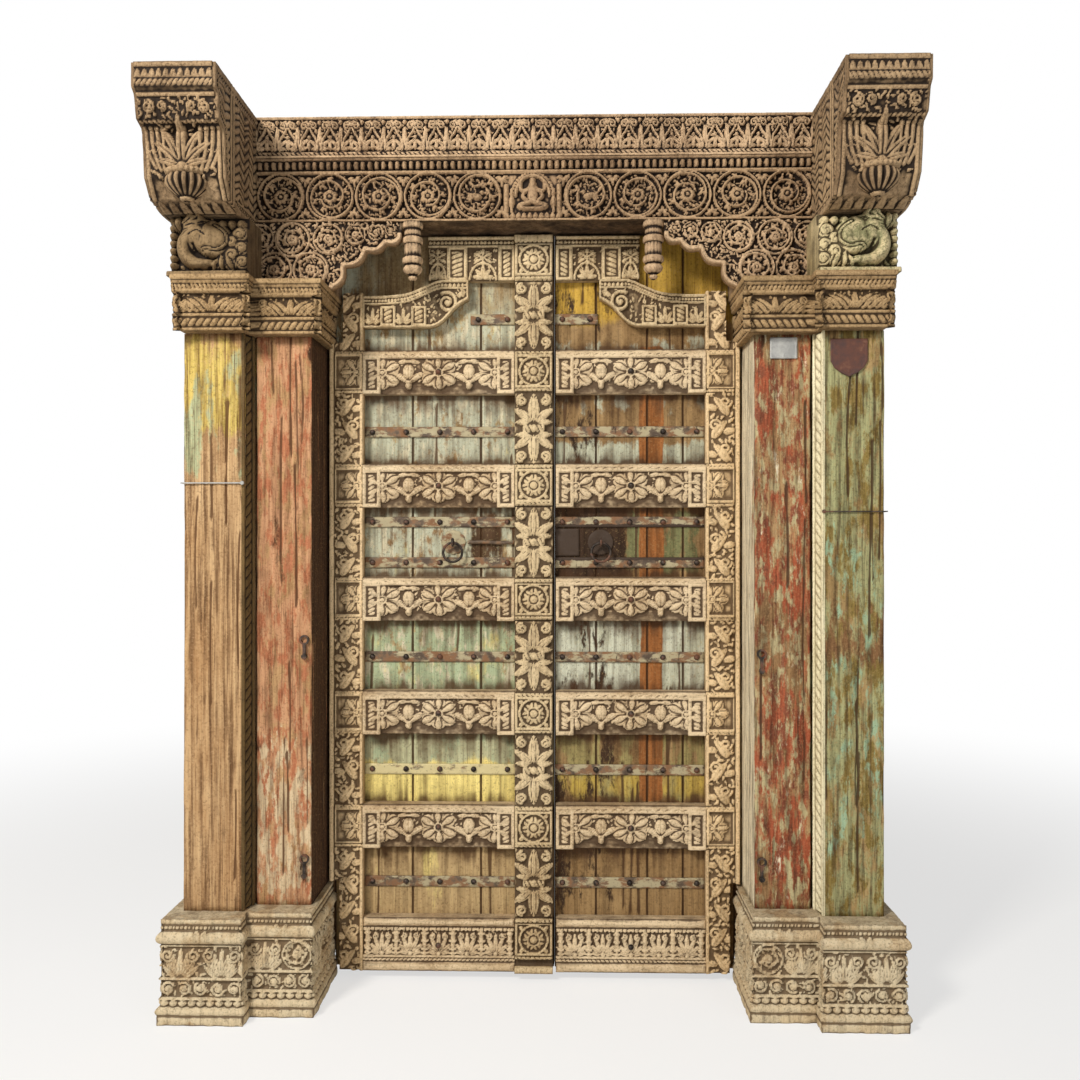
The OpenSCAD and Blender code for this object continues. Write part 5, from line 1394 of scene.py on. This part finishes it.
class DOOR_OT_carve_spandrels(bpy.types.Operator):
    """Carve the cusped spandrels in the upper corners"""

    bl_idname = "door.carve_spandrels"
    bl_label = "Carve Spandrels"

    roundels = ((56, 52, 50), (156, 52, 50), (106, 134, 49), (8, 136, 43), (194, 140, 38), (-66, 148, 29),
                (-122, 155, 22), (-164, 161, 16))

    def execute(self, context):
        relief, plate, gap = 22, 20, 40
        for w in both("spandrel"):
            cap_x = side_box(node_for("capital", w.side), w.side)[0]
            wide, tall, foot = w.wide, w.tall, cap_x - w.x0
            cusps = [(foot, 0), (foot - 36, 62), (foot - 96, 104), (foot - 150, 124), (0, 138)]
            edge = [(wide, 0), (foot, 0)]
            for a, b in zip(np.array(cusps[:-1], float), np.array(cusps[1:], float)):
                bulge = np.array([b[1] - a[1], a[0] - b[0]]) * 0.22
                edge += [tuple(a + (b - a) * t - bulge * math.sin(math.pi * t))
                         for t in np.linspace(0, 1, 8)[1:]]
            inside = polygon_distance([*edge, (0, tall), (wide, tall)])
            c = w.sheet(0.95)
            c.h = np.where((inside(c.U, c.V) < 10) & (c.V < 150) & (c.U < foot + 4), 19.0, 0.0)
            for k, (cu, cv, r) in enumerate(self.roundels):
                c.roundel(foot + cu, cv, r, 19, w.rng, 1, 1 if k % 2 else -1)
            c.fill(w.rng, 0, wide, 0, tall, 1500, 15, 16, 1, 5)
            w.age(c, 0.9, top=relief - 0.3, low=0.0)
            w.solid.shaped(c, inside, (w.x0, w.y0 + relief, w.z0), *FRONT, plate)
            rear = Carving.sheet(wide - foot - 2, tall, 20)
            rear.h -= 2 * lumps(w.rng, rear.h.shape, 4, 6)
            w.solid.block(rear, (cap_x + 2, w.y0 + gap, w.z0), *FRONT, w.deep - gap)
            w.piece("Spandrel_{}", "dark_carving", "lintel_wood")
        return {"FINISHED"}


class DOOR_OT_turn_pendants(bpy.types.Operator):
    """Turn the hanging pendants at the spandrel tips"""

    bl_idname = "door.turn_pendants"
    bl_label = "Turn Pendants"

    foot = ((0.04, 0.0), (0.3, 0.02), (0.42, 0.06), (0.3, 0.1), (0.62, 0.12), (0.86, 0.17), (0.9, 0.22),
            (0.7, 0.27))
    drum = ((0.7, 0.27), (0.95, 0.31), (1.0, 0.35), (0.95, 0.39), (0.78, 0.42), (0.82, 0.52), (0.78, 0.62))
    head = ((0.78, 0.62), (0.98, 0.65), (1.0, 0.69), (0.95, 0.73), (0.76, 0.76), (0.8, 0.82), (0.76, 0.88),
            (0.96, 0.91), (1.0, 0.95), (0.95, 1.0))

    def execute(self, context):
        for w in both("pendant"):
            r = w.wide / 2 - 0.3
            for profile, lobes, depth in ((self.foot, 8, 0.06), (self.drum, 14, 0.04), (self.head, 18, 0.03)):
                line = wave([(a * r, b * w.tall) for a, b in profile], 4 * len(profile))
                line[:, 0] = np.clip(line[:, 0], 0.4, r)
                w.solid.turned(line, (*w.middle[:2], w.z0), 72,
                               lambda a, s, n=lobes, d=depth: 1 - d * (1 - np.abs(np.cos(n * a / 2))))
            w.piece("Pendant_{}", "dark_carving", "lintel_wood")
        return {"FINISHED"}


# ---- Leaf pieces


def rails_of(side):
    """The five carved rails, from the top down."""
    return [Workpiece(f"rail_{SIDE_NAME[side]}_{k}", side) for k in range(1, 6)]


class DOOR_OT_lay_planks(bpy.types.Operator):
    """Lay the painted boards behind the carved work"""

    bl_idname = "door.lay_planks"
    bl_label = "Lay Planks"

    joints = {LEFT: (152.2, 348.5), RIGHT: (177.4, 323.3, 425.1)}

    def execute(self, context):
        for w in both("planks"):
            ends = [w.x0, *self.joints[w.side], w.x1]
            for k, (a, b) in enumerate(zip(ends[:-1], ends[1:])):
                self.board(w, a + 0.4 * (k > 0), b - 0.4, 1.9 * w.side if k == 0 else 0.0)
            w.piece("Planks_{}", "painted_planks", node_for("boards", w.side), "{}_leaf")
        return {"FINISHED"}

    def board(self, w, x0, x1, slant):
        """One board with eased edges, open grain, a few splits, and dirt with painted shade along the rails
        and its edges.
        """
        c, rng, front = Carving.sheet(x1 - x0, w.tall, 4.5, 18.0), w.rng, w.y0 + 0.3
        shape, edge = c.h.shape, np.minimum(c.U, x1 - x0 - c.U)
        c.h -= 0.9 * lumps(rng, shape, 8, shape[1] // 2) + 0.8 * lumps(rng, shape, 5, 3)
        c.h -= 2.6 * np.clip(1 - edge / 5, 0, 1) ** 2 * (0.4 + lumps(rng, shape, 24, 2))
        for _ in range(4):
            u, v, run = rng.uniform(8, x1 - x0 - 8), rng.uniform(0, w.tall), rng.uniform(150, 500)
            c.groove(crack(rng, u, v, run, 5, 8), 9, 2.0)
        c.h = np.minimum(c.h, 0)
        patchy = 0.4 + 0.9 * lumps(rng, shape, 40, max(2, shape[1] // 6))
        # dirt and painted shade: darker just above each rail and further below it, where the rail shades the
        # board
        for rail in rails_of(w.side):
            for z, fade in ((rail.z1, 18.0), (rail.z0, 34.0)):
                rail_grime_and_shade = 0.6 * patchy * np.exp(-np.abs(c.V - (z - w.z0)) / fade)
                c.soot = np.maximum(c.soot, rail_grime_and_shade)
        # darker along the board's edges: dirt and painted shade in the joints
        c.soot = np.maximum(c.soot, 0.5 * patchy * np.exp(-np.abs(edge) / 5.0))
        # the board's sides and back in painted shade
        w.solid.block(c, (x0, front, w.z0), *FRONT, w.y1 - front, slant, -0.22)


class DOOR_OT_carve_rails(bpy.types.Operator):
    """Carve the flower rails across each leaf"""

    bl_idname = "door.carve_rails"
    bl_label = "Carve Rails"

    def execute(self, context):
        for side in (LEFT, RIGHT):
            for k, w in enumerate(rails_of(side), 1):
                c = w.sheet(0.95, -18.0)
                self.flowers(c, w.rng, w.wide, w.tall)
                w.age(c)
                w.face(c)
                w.piece(f"Rail_{SIDE_NAME[side]}_{k}", "carved_wood", "rail_wood", "{}_leaf")
        return {"FINISHED"}

    def flowers(self, c, rng, wide, tall):
        """Framed rope blocks at the ends, and between them flowers and urns over a recess."""
        end, low, top, ground = 50.0, 25.0, tall - 19.0, -14.0
        mid, cv = wide / 2, 0.5 * (low + top) - 5
        c.h[c.near(end, wide - end, low + 12, tall)] = ground
        # darker along the bottom strip between the end blocks
        c.soot[c.near(end, wide - end, 0, low)] = 0.25
        part = c.near(0, wide, top, tall)
        c.h[part] = -1.5 - 9 * ((c.V[part] - top) / (tall - top)) ** 1.4
        for u in np.arange(end + 8, wide - end - 8, 25):
            c.groove([(u, top + 4), (u + 9, top + 7)], 6, 3.0)
        c.slab(end, wide - end, top - 5, top + 2, -2)
        for u0, u1 in ((0, end), (wide - end, wide)):
            c.slab(u0, u1, 0, top + 2, -1)
            c.sink(u0 + 8, u1 - 8, 10, top - 6, -9)
            c.rope(u0 + 14, u1 - 14, 17, top - 13, 13, 8, -10, 0.8, upright=True)
        r, tilt = 0.5 * (top - low) + 8, rng.uniform(-6, 6)
        for hand in HANDS:
            c.flower(mid + hand * (mid - end - 6), cv, r, 6, 12, ground, 90 + tilt)
            urn = mid + hand * (0.5 * (mid - end) + 3)
            for turn in HANDS:
                c.petal(urn, low + 6, 90 - turn * 40, 0.8 * (top - low), 19, 11, ground, curl=-turn * 0.4,
                        lines=(0.45,))
                c.petal(urn, top - 6, -90 + turn * 60, 34, 15, 10, ground, curl=turn * 0.25)
            c.dome(urn, cv + 3, 17, 13.5, ground, 1.35)
            c.groove([(urn, cv - 16), (urn, cv + 22)], 6, 2.5)
            c.slab(urn - 12, urn + 12, top - 17, top - 9, ground + 11)
            c.slab(urn - 9, urn + 9, cv - 29, cv - 22, ground + 11)
            c.dome(urn, low, 9, 13, ground, 1.3)
        c.flower(mid, cv, r, 6, 13, ground, 90 - tilt)
        c.fill(rng, end, wide - end, low + 8, top - 6, 120, 12, 8, ground, 2)


class DOOR_OT_carve_bottom_rails(bpy.types.Operator):
    """Carve the bottom rails with fans and balusters"""

    bl_idname = "door.carve_bottom_rails"
    bl_label = "Carve Bottom Rails"

    def execute(self, context):
        count, ground = 5, -15
        for w in both("bottom_rail"):
            wide, tall, c = w.wide, w.tall, w.sheet(0.95, -16.0)
            c.slab(0, wide, 0, 26, -2, 8)
            c.rope(0, wide, 27, 37, 12, 9, -12)
            c.slab(0, wide, 38, 44, -4)
            c.slab(0, wide, tall - 26, tall, -3, 14)
            c.beads(0, wide, tall - 38, tall - 28, 11, 10, -12)
            for k in range(count + 1):
                cu = 14 + (wide - 28) * k / count
                c.stroke([(cu, 46), (cu, tall - 40)], 14, 9, -14)
                for v in (50, 62, 84, tall - 44):
                    c.slab(cu - 10, cu + 10, v - 3, v + 3, -3)
                if k < count:
                    mid = cu + 0.5 * (wide - 28) / count
                    c.palmette(mid, 47, 90, 62, 7, 140, 15, 13, ground)
                    c.dome(mid, 50, 8, 14, ground)
                    for hand in HANDS:
                        c.stroke(spiral(mid + hand * 19, 96, 9, 2, 1.2, 90, hand), 5, 11, ground)
            c.fill(w.rng, 0, wide, 46, tall - 40, 140, 14, 9, -16, 1.5)
            w.age(c, 1.2, 1.3)
            w.face(c)
            w.piece("Bottom_rail_{}", "carved_wood", "rail_wood", "{}_leaf")
        return {"FINISHED"}


class DOOR_OT_carve_stiles(bpy.types.Operator):
    """Carve the stiles that the rails meet at the hinge side"""

    bl_idname = "door.carve_stiles"
    bl_label = "Carve Stiles"

    def execute(self, context):
        ground = -14
        for w in both("hinge_stile"):
            wide, tall, c = w.wide, w.tall, w.sheet(1.05, ground)
            foot, head, field = wide - 28.0, wide - 39.0, wide - 14
            inside = polygon_distance([(0, 0), (foot, 0), (foot, 253), (wide, 253), (wide, tall - 142),
                                       (head, tall - 142), (head, tall), (0, tall)])
            ends = [tall] + [z - w.z0 for rail in rails_of(w.side) for z in (rail.z1, rail.z0)] + [0]
            for high, low in zip(ends[0::2], ends[1::2]):
                c.slab(0, 7, low, high, -4)
                c.beads(0, 9, low + 4, high - 4, 14, 9, -12, upright=True)
                turns = max(1, round((high - low) / 64))
                for k in range(turns):
                    cv, hand, mid = low + (high - low) * (k + 0.5) / turns, 1 if k % 2 else -1, field / 2
                    c.petal(mid - hand * 22, cv - 30, 90 - hand * 26, 66, 30, 13, ground, curl=-hand * 0.2)
                    c.petal(mid + hand * 8, cv - 14, 90 - hand * 62, 44, 22, 12, ground, curl=-hand * 0.3)
                    c.stroke(spiral(mid - hand * 15, cv + 8, 17, 4, 1.3, 0, hand), 8, 12, ground)
                c.fill(w.rng, 8, field, low, high, int((high - low) * 1.2), 22, 11, ground, 2)
            for low, high in zip(ends[2::2], ends[1:-1:2]):
                c.slab(0, field, low, high, -12)
                c.frame(1, field, low + 12, high - 10, 6, -2)
                c.flower(16, (low + high) / 2, 42, 7, 11, -13, 0)
                c.rope(0, field, low + 2, low + 11, 12, 8, -11)
                c.rope(0, field, high - 10, high - 2, 12, 8, -11, -1)
            c.slab(field + 2, wide, 0, tall, -5)
            c.groove([(field + 1, 0), (field + 1, tall)], 7, 5)
            w.age(c)
            w.cut(c, inside)
            w.piece("Hinge_stile_{}", "carved_wood", "stile_wood", "{}_leaf")
        return {"FINISHED"}


class DOOR_OT_carve_meeting_bar(bpy.types.Operator):
    """Carve the bar that covers the gap between the leaves"""

    bl_idname = "door.carve_meeting_bar"
    bl_label = "Carve Meeting Bar"

    def execute(self, context):
        w = Workpiece("meeting_bar")
        c, mid = w.sheet(ground=-22), w.wide / 2
        blocks = [(rail.z0 + rail.z1) / 2 - w.z0 for rail in rails_of(LEFT)]
        pitch = blocks[0] - blocks[1]
        places = sorted(blocks + [blocks[0] + 0.98 * pitch, blocks[-1] - 0.98 * pitch])
        for cv in places:
            self.block(c, mid, cv, w.wide, 46.0)
        for low, high in zip(places[:-1], places[1:]):
            self.waist(c, mid, w.wide, low + 60, high - 60)
        c.slab(0, w.wide, 0, 16, -2)
        c.slab(0, w.wide, w.tall - 16, w.tall, -2)
        # darker towards the bottom
        c.soot = 0.14 * np.clip(1 - c.V / 900, 0, 1)
        w.age(c)
        w.face(c)
        w.piece("Meeting_bar", "carved_wood", "leaf_wood", "left_leaf")
        return {"FINISHED"}

    def block(self, c, mid, cv, wide, r):
        """A flower with a domed boss in a ring, between two rope bands."""
        c.slab(0, wide, cv - 58, cv + 58, -13)
        c.frame(1, wide - 1, cv - 46, cv + 46, 6, -3)
        c.ring(mid, cv, r * 0.86, 7, 11, -13)
        c.rosette(mid, cv, r * 0.8, 7, 11, -14, 90, 0.24, 0.5)
        c.ring(mid, cv, r * 0.36, 5, 12, -14)
        c.dome(mid, cv, r * 0.29, 14, -14)
        for v in (cv - 57, cv + 47):
            c.rope(2, wide - 2, v, v + 10, 13, 11, -12)
        for turn in (45, 135, 225, 315):
            a = math.radians(turn)
            c.petal(mid + 58 * math.cos(a), cv + 54 * math.sin(a), turn + 180, 22, 13, 10, -13)

    def waist(self, c, mid, wide, low, high):
        """A double cup of leaves, drawn in beside its knot, with a volute in each corner."""
        part, middle, ground = c.near(0, wide, low, high), (low + high) / 2, -15
        share = (c.V[part] - low) / (high - low)
        half = 0.5 * wide * (1 - 0.36 * np.sin(np.pi * share) ** 2)
        c.lift(part, np.abs(c.U[part] - mid) < half, ground)
        for up in HANDS:
            foot, rim = middle + up * 14, middle + up * (high - low) / 2
            for hand in HANDS:
                curl = -up * hand * 0.3
                volute = spiral(mid + hand * 0.31 * wide, rim - up * 22, 15, 3, 1.5, 90 * up, -hand * up)
                c.stroke(volute, 8, 12, ground)
                c.petal(mid + hand * 6, foot, up * (90 - hand * 34), 66, 26, 12, ground, curl=curl,
                        lines=(0.45,))
                c.petal(mid + hand * 10, foot, up * (90 - hand * 68), 40, 20, 11, ground, curl=curl)
            c.petal(mid, foot, 90 * up, 0.5 * (high - low) - 16, 34, 13, ground, lines=(0.45,))
        c.rope(mid - 30, mid + 30, middle - 12, middle + 12, 12, 12, -14)
        c.dome(mid, middle, 11, 14, -14)


class DOOR_OT_carve_top_rails(bpy.types.Operator):
    """Carve the top rails and the sweeping corner pieces"""

    bl_idname = "door.carve_top_rails"
    bl_label = "Carve Top Rails"

    def execute(self, context):
        for rail, corner in zip(both("top_rail"), both("corner_piece")):
            self.rail(rail, rail.sheet(0.95, -15), rail.wide, rail.tall)
            rail.piece("Top_rail_{}", "carved_wood", "leaf_wood", "{}_leaf")
            self.corner(corner, corner.sheet(0.95, -15), corner.wide, corner.tall)
            corner.piece("Corner_piece_{}", "carved_wood", "leaf_wood", "{}_leaf")
        return {"FINISHED"}

    def rail(self, w, c, wide, tall):
        """Rope panels and arched flowers in turn, under a row of beads."""
        ground = -15
        c.slab(0, wide, tall - 9, tall, -1)
        c.beads(0, wide, tall - 21, tall - 11, 11, 10, -13)
        c.slab(0, wide, tall - 29, tall - 23, -3)
        ends = (0, 46, 0.55 * wide, 0.78 * wide, wide)
        for k, (u0, u1) in enumerate(zip(ends[:-1], ends[1:])):
            if k in (0, 2):
                c.slab(u0, u1, 0, tall - 24, -3)
                c.sink(u0 + 7, u1 - 7, 8, tall - 34, -11)
                c.rope(u0 + 12, u1 - 12, 13, tall - 40, 13, 9, -12, 0.8, upright=True)
                continue
            middle = (u0 + u1) / 2
            c.flower(middle, 66, 26, 6, 12, ground)
            c.palmette(middle, 6, 90, 44, 5, 130, 15, 12, ground)
            c.stroke(half_round(middle, 4, 0.42 * (u1 - u0), 46, 16), 7, 12, ground)
        c.fill(w.rng, 0, wide, 2, tall - 30, 140, 14, 10, ground, 2)
        w.age(c)
        w.face(c)

    def corner(self, w, c, wide, tall):
        """A swept piece with a beaded edge, a volute and small panels."""
        ground, eye = -15, (0.2 * wide, tall - 62)
        lower = wave([(wide, 0), (0.7 * wide, 0), (0.42 * wide, 0), (0.29 * wide, 8), (0.19 * wide, 34),
                      (0.1 * wide, 62), (0, 80)], 26)
        upper = wave([(0, tall), (0.26 * wide, tall), (0.42 * wide, 0.86 * tall), (0.58 * wide, 0.72 * tall),
                      (0.8 * wide, 0.67 * tall), (wide, 0.67 * tall)], 26)
        for line in (lower, upper):
            line[:, 1] = np.clip(line[:, 1], 0, tall)
        inside = polygon_distance([*lower, *upper])
        c.h = np.where(inside(c.U, c.V) < 6, -3, c.h)
        for q in wave(upper - (0, 13), 38):
            c.dome(*q, 5, 11, -14)
        c.stroke(upper - (0, 21), 6, 12, ground)
        c.stroke(spiral(*eye, 30, 5, 1.7, 60, 1), 11, 14, ground, 0.6)
        c.dome(*eye, 8, 15, ground)
        for k in range(5):
            c.petal(*eye, 150 + 30 * k, 26, 15, 12, ground, start=30)
        c.palmette(0.08 * wide, tall - 30, 200, 34, 5, 110, 12, 12, ground)
        panel, rim = 0.145 * wide, 0.46 * tall
        for k in range(4):
            u0 = 0.4 * wide + panel * k
            if k % 2 == 0:
                c.frame(u0, u0 + panel, 5, rim, 6, -2)
                c.rope(u0 + 10, u0 + panel - 10, 13, rim - 8, 12, 9, -12, 0.8, upright=True)
            else:
                c.palmette(u0 + panel / 2, 6, 90, 52, 5, 100, 14, 13, ground)
        c.fill(w.rng, 0, wide, 0, tall, 260, 15, 10, ground, 2)
        w.age(c)
        w.cut(c, inside)


class DOOR_OT_forge_ironwork(bpy.types.Operator):
    """Forge the straps, the domed nails and the ring plates"""

    bl_idname = "door.forge_ironwork"
    bl_label = "Forge Ironwork"

    heights, top_height = (1556.0, 1298.0, 1182.0, 912.0, 590.0, 268.0), 1878.0
    nails = {LEFT: (76, 173, 270, 367, 464), RIGHT: (81, 177, 273, 368, 464)}
    rail_nail = {LEFT: 270.0, RIGHT: 274.3}
    lobes = {LEFT: (12, 0.09), RIGHT: (1, 0.0)}

    def execute(self, context):
        for straps, nails, plate in zip(both("straps"), both("nails"), both("ring_plate")):
            self.straps(straps)
            self.heads(nails)
            self.plate(plate)
            iron = node_for("strap_iron", straps.side)
            straps.piece("Straps_{}", "old_iron", iron, "{}_leaf")
            nails.piece("Nails_{}", "old_iron", "dark_iron", "{}_leaf")
            plate.piece("Ring_plate_{}", "old_iron", iron, "{}_leaf")
        return {"FINISHED"}

    def straps(self, w):
        """Flat dented bars, a short one at the top, and the latch bar or the lock plate."""
        thick, edge = 4.0, 59.2 if w.side == RIGHT else w.x0
        runs = [(edge, w.x1, z, 30.0) for z in self.heights] + [(edge, 182.0, self.top_height, 30.0)]
        if w.side == RIGHT:
            runs.append((edge, 129.1, 1240.0, 78.0))
        for a, b, z, tall in runs:
            c = Carving.sheet(b - a, tall, 6.0, 5.0)
            c.h -= 1.1 * lumps(w.rng, c.h.shape, 3, int((b - a) / 14)) + 0.2
            w.solid.block(c, (a, w.y1 - thick, z - tall / 2), *FRONT, thick - 0.2)
        if w.side == LEFT:
            bends = ((190, 6, 1240), (150, 7, 1241), (100, 6.5, 1239), (56, 6, 1240))
            w.solid.tube(wave([(x, w.y1 - y, z) for x, y, z in bends], 20), 5.5)

    def heads(self, w):
        """Domed nails along the straps and in the middle of each rail."""
        front, r, low_nail = 203.5, 8.4, 100.0
        spots = [(x, front, z) for z in self.heights for x in self.nails[w.side]]
        spots += [(x, front, self.top_height) for x in (self.nails[w.side][0], 160)]
        rails, x = rails_of(w.side), self.rail_nail[w.side]
        spots += [(x, rails[0].y0, z) for z in (*((rail.z0 + rail.z1) / 2 for rail in rails), low_nail)]
        dome = [(r, -0.2)] + [(r * math.cos(t), 7.5 * math.sin(t)) for t in np.linspace(0, 1.5, 7)]
        for place in spots:
            dents = w.rng.uniform(0.94, 1.0, 16)
            w.solid.turned(dome, place, 16, lambda a, s, d=dents: d[None, :] * np.ones_like(s), axis="y")

    def plate(self, w):
        """The boss behind a pull ring, lobed on the left leaf."""
        r, (lobes, depth) = w.wide / 2 - 0.2, self.lobes[w.side]
        shares = ((1.0, 0.5), (0.93, 0.8), (0.7, 0.75), (0.5, 0.7), (0.36, 0.98), (0.2, 1.0))
        profile = [(r, 0.1)] + [(a * r, b * w.deep) for a, b in shares]
        w.solid.turned(profile, (w.middle[0], w.y1, w.middle[2]), 96,
                       lambda a, s: 1 - depth * (1 - np.abs(np.cos(lobes * a / 2))) * (1 - s), axis="y")


class DOOR_OT_bend_rings(bpy.types.Operator):
    """Bend the pull rings out of round bar"""

    bl_idname = "door.bend_rings"
    bl_label = "Bend Rings"

    def execute(self, context):
        for w in both("ring"):
            wire = w.deep / 2 - 0.15
            mean, (cx, cy, cz) = w.tall / 2 - wire - 0.15, w.middle
            line = [(cx + mean * math.sin(a), cy, cz + mean * math.cos(a))
                    for a in np.linspace(0, FULL_TURN, 72, endpoint=False)]
            w.solid.tube(line, wire, True, 14, lambda n, m, rng=w.rng:
                         np.clip(0.94 + 0.1 * (lumps(rng, (n, m), 18, 5) - 0.5), 0, 1))
            w.piece("Pull_ring_{}", "old_iron", "dark_iron", "{}_ring")
        return {"FINISHED"}


class DOOR_OT_fix_fittings(bpy.types.Operator):
    """Fix the tag and the shield plate, and finish the small iron and the plain timber"""

    bl_idname = "door.fix_fittings"
    bl_label = "Fix Fittings"

    shown = {"plain_timber": ("head_rail", "hinge_post_left", "hinge_post_right"),
             "dark_iron": ("pivot_cup_left", "pivot_cup_right", "wire_tie_right", "jamb_eyes_left",
                           "jamb_eyes_right", "ring_eye_left", "ring_eye_right"),
             "tag_metal": ("wire_tie_left",)}
    shield = ((0, 1), (0, 0.42), (0.1, 0.24), (0.28, 0.1), (0.5, 0), (0.72, 0.1), (0.9, 0.24), (1, 0.42),
              (1, 1))

    def execute(self, context):
        for finish, nodes in self.shown.items():
            for node in nodes:
                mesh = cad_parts[node].data
                mesh.materials.clear()
                mesh.materials.append(finish_for(finish))
        tag, shield = Workpiece("tag_plate"), Workpiece("shield_plate")
        a, b, ease = tag.wide, tag.tall, 2
        self.sheet(tag, [(ease, 0), (a - ease, 0), (a, ease), (a, b - ease), (a - ease, b), (ease, b),
                         (0, b - ease), (0, ease)])
        tag.piece("Tag_plate", "pale_metal", "tag_metal")
        self.sheet(shield, [(u * shield.wide, v * shield.tall) for u, v in self.shield])
        shield.piece("Shield_plate", "brown_plate", "brown_plate")
        return {"FINISHED"}

    def sheet(self, w, edge):
        """A thin plate with rolled edges and small rivets."""
        thick, inside = w.deep, polygon_distance(edge)
        c = Carving.sheet(w.wide, w.tall, 1.8)
        roll = 0.3 * thick * np.exp(-((inside(c.U, c.V) - 3.5) / 1.6) ** 2)
        c.h = -0.35 * thick + roll - 0.15 * thick * lumps(w.rng, c.h.shape, 5, 6)
        for u, v in ((0.12, 0.86), (0.88, 0.86), (0.5, 0.14)):
            c.dome(u * w.wide, v * w.tall, 3.2, 0.3 * thick, -0.32 * thick)
        c.h = np.clip(c.h, -0.8 * thick, -0.02)
        w.cut(c, inside)


class DOOR_OT_set_stage(bpy.types.Operator):
    """Set the floor, the soft light and the camera"""

    bl_idname = "door.set_stage"
    bl_label = "Set Stage"

    def execute(self, context):
        stage, floor = context.scene.door_stage, self.floor()
        context.scene.world = self.room()
        lamps = [self.lamp("Key lamp", (-2.1, -3.4, 3.8), (0.1, 0.0, 1.1), 216.0, 0.9, (1.0, 0.96, 0.9)),
                 self.lamp("Fill lamp", (2.8, -4.2, 1.8), (0.0, 0.0, 1.1), 40.0, 2.5, (0.97, 0.98, 1.0))]
        data = bpy.data.cameras.new("Camera")
        data.sensor_width, data.lens, data.clip_end = 36.0, stage.lens, 60.0
        camera = self.placed("Camera", data, (stage.across, -stage.distance, stage.height))
        camera.rotation_euler = (math.radians(90) + stage.pitch, 0.0, stage.turn)
        context.scene.camera = camera
        context.scene.view_settings.view_transform = "Standard"
        return {"FINISHED"}

    def placed(self, name, data, place=(0, 0, 0)):
        obj = bpy.data.objects.new(name, data)
        obj.location = place
        bpy.context.scene.collection.objects.link(obj)
        return obj

    def floor(self):
        """A pale floor that fades into the backdrop far from the door."""
        mesh = bpy.data.meshes.new("Floor")
        mesh.from_pydata([(-9, -9, 0), (9, -9, 0), (9, 9, 0), (-9, 9, 0)], [], [(0, 1, 2, 3)])
        f = Finish("Pale floor")
        f.link(f.skin.inputs["Base Color"], f.mix(f.noise(0.8), tint(236, 235, 232), tint(244, 243, 240)))
        f.link(f.skin.inputs["Roughness"], 0.9)
        reach = f.add("VectorMath", {0: f.place}, operation="LENGTH").outputs["Value"]
        far = f.span(reach, 1.6, 5.0, 0.62, 1.0)
        share = f.times(far, f.add("LightPath").outputs["Is Camera Ray"])
        blend = f.add("MixShader", {0: share, 1: f.skin.outputs[0], 2: f.add("Emission").outputs[0]})
        f.link(f.out.inputs[0], blend.outputs[0])
        mesh.materials.append(f.material)
        return self.placed("Floor", mesh)

    def room(self):
        """Soft light from all sides, in front of a white backdrop."""
        world = bpy.data.worlds.new("Pale room")
        n = Nodes(world)
        room = n.add("Background", {"Color": (1.0, 0.97, 0.93, 1), "Strength": 0.28})
        backdrop = n.add("Background", {"Color": (1, 1, 1, 1), "Strength": 1.0})
        ray = n.add("LightPath").outputs
        seen = n.math("MAXIMUM", ray["Is Camera Ray"], ray["Is Glossy Ray"])
        blend = n.add("MixShader", {0: seen, 1: room.outputs[0], 2: backdrop.outputs[0]})
        n.add("OutputWorld", {0: blend.outputs[0]})
        return world

    def lamp(self, name, place, target, power, size, colour):
        data = bpy.data.lights.new(name, "AREA")
        data.energy, data.size, data.color = power, size, colour
        lamp = self.placed(name, data, place)
        lamp.rotation_euler = (Vector(target) - Vector(place)).to_track_quat("-Z", "Y").to_euler()
        return lamp


OPERATORS = (
    DOOR_OT_carve_plinths, DOOR_OT_dress_posts, DOOR_OT_carve_capitals, DOOR_OT_carve_lower_brackets,
    DOOR_OT_carve_upper_brackets, DOOR_OT_carve_frieze, DOOR_OT_carve_lintel, DOOR_OT_carve_spandrels,
    DOOR_OT_turn_pendants, DOOR_OT_lay_planks, DOOR_OT_carve_rails, DOOR_OT_carve_bottom_rails,
    DOOR_OT_carve_stiles, DOOR_OT_carve_meeting_bar, DOOR_OT_carve_top_rails, DOOR_OT_forge_ironwork,
    DOOR_OT_bend_rings, DOOR_OT_fix_fittings, DOOR_OT_set_stage,
)


class DOOR_PT_panel(bpy.types.Panel):
    """Lists the steps in building order"""

    bl_idname = "DOOR_PT_panel"
    bl_label = "Carved Door"
    bl_space_type = "VIEW_3D"
    bl_region_type = "UI"
    bl_category = "Door"

    def draw(self, context):
        for settings in (context.scene.door_carving, context.scene.door_paint, context.scene.door_stage):
            column = self.layout.box().column()
            for key in settings.__annotations__:
                column.prop(settings, key)
        column = self.layout.column(align=True)
        for operator in OPERATORS:
            column.operator(operator.bl_idname)


SETTINGS = (DoorCarvingSettings, DoorPaintSettings, DoorStageSettings)
CLASSES = (*SETTINGS, *OPERATORS, DOOR_PT_panel)


def register():
    for cls in CLASSES:
        bpy.utils.register_class(cls)
    bpy.types.Scene.door_carving = bpy.props.PointerProperty(type=DoorCarvingSettings)
    bpy.types.Scene.door_paint = bpy.props.PointerProperty(type=DoorPaintSettings)
    bpy.types.Scene.door_stage = bpy.props.PointerProperty(type=DoorStageSettings)


def unregister():
    del bpy.types.Scene.door_stage, bpy.types.Scene.door_paint, bpy.types.Scene.door_carving
    for cls in reversed(CLASSES):
        bpy.utils.unregister_class(cls)


def main():
    register()
    for operator in OPERATORS:
        group, name = operator.bl_idname.split(".")
        getattr(getattr(bpy.ops, group), name)()


if __name__ == "__main__":
    main()
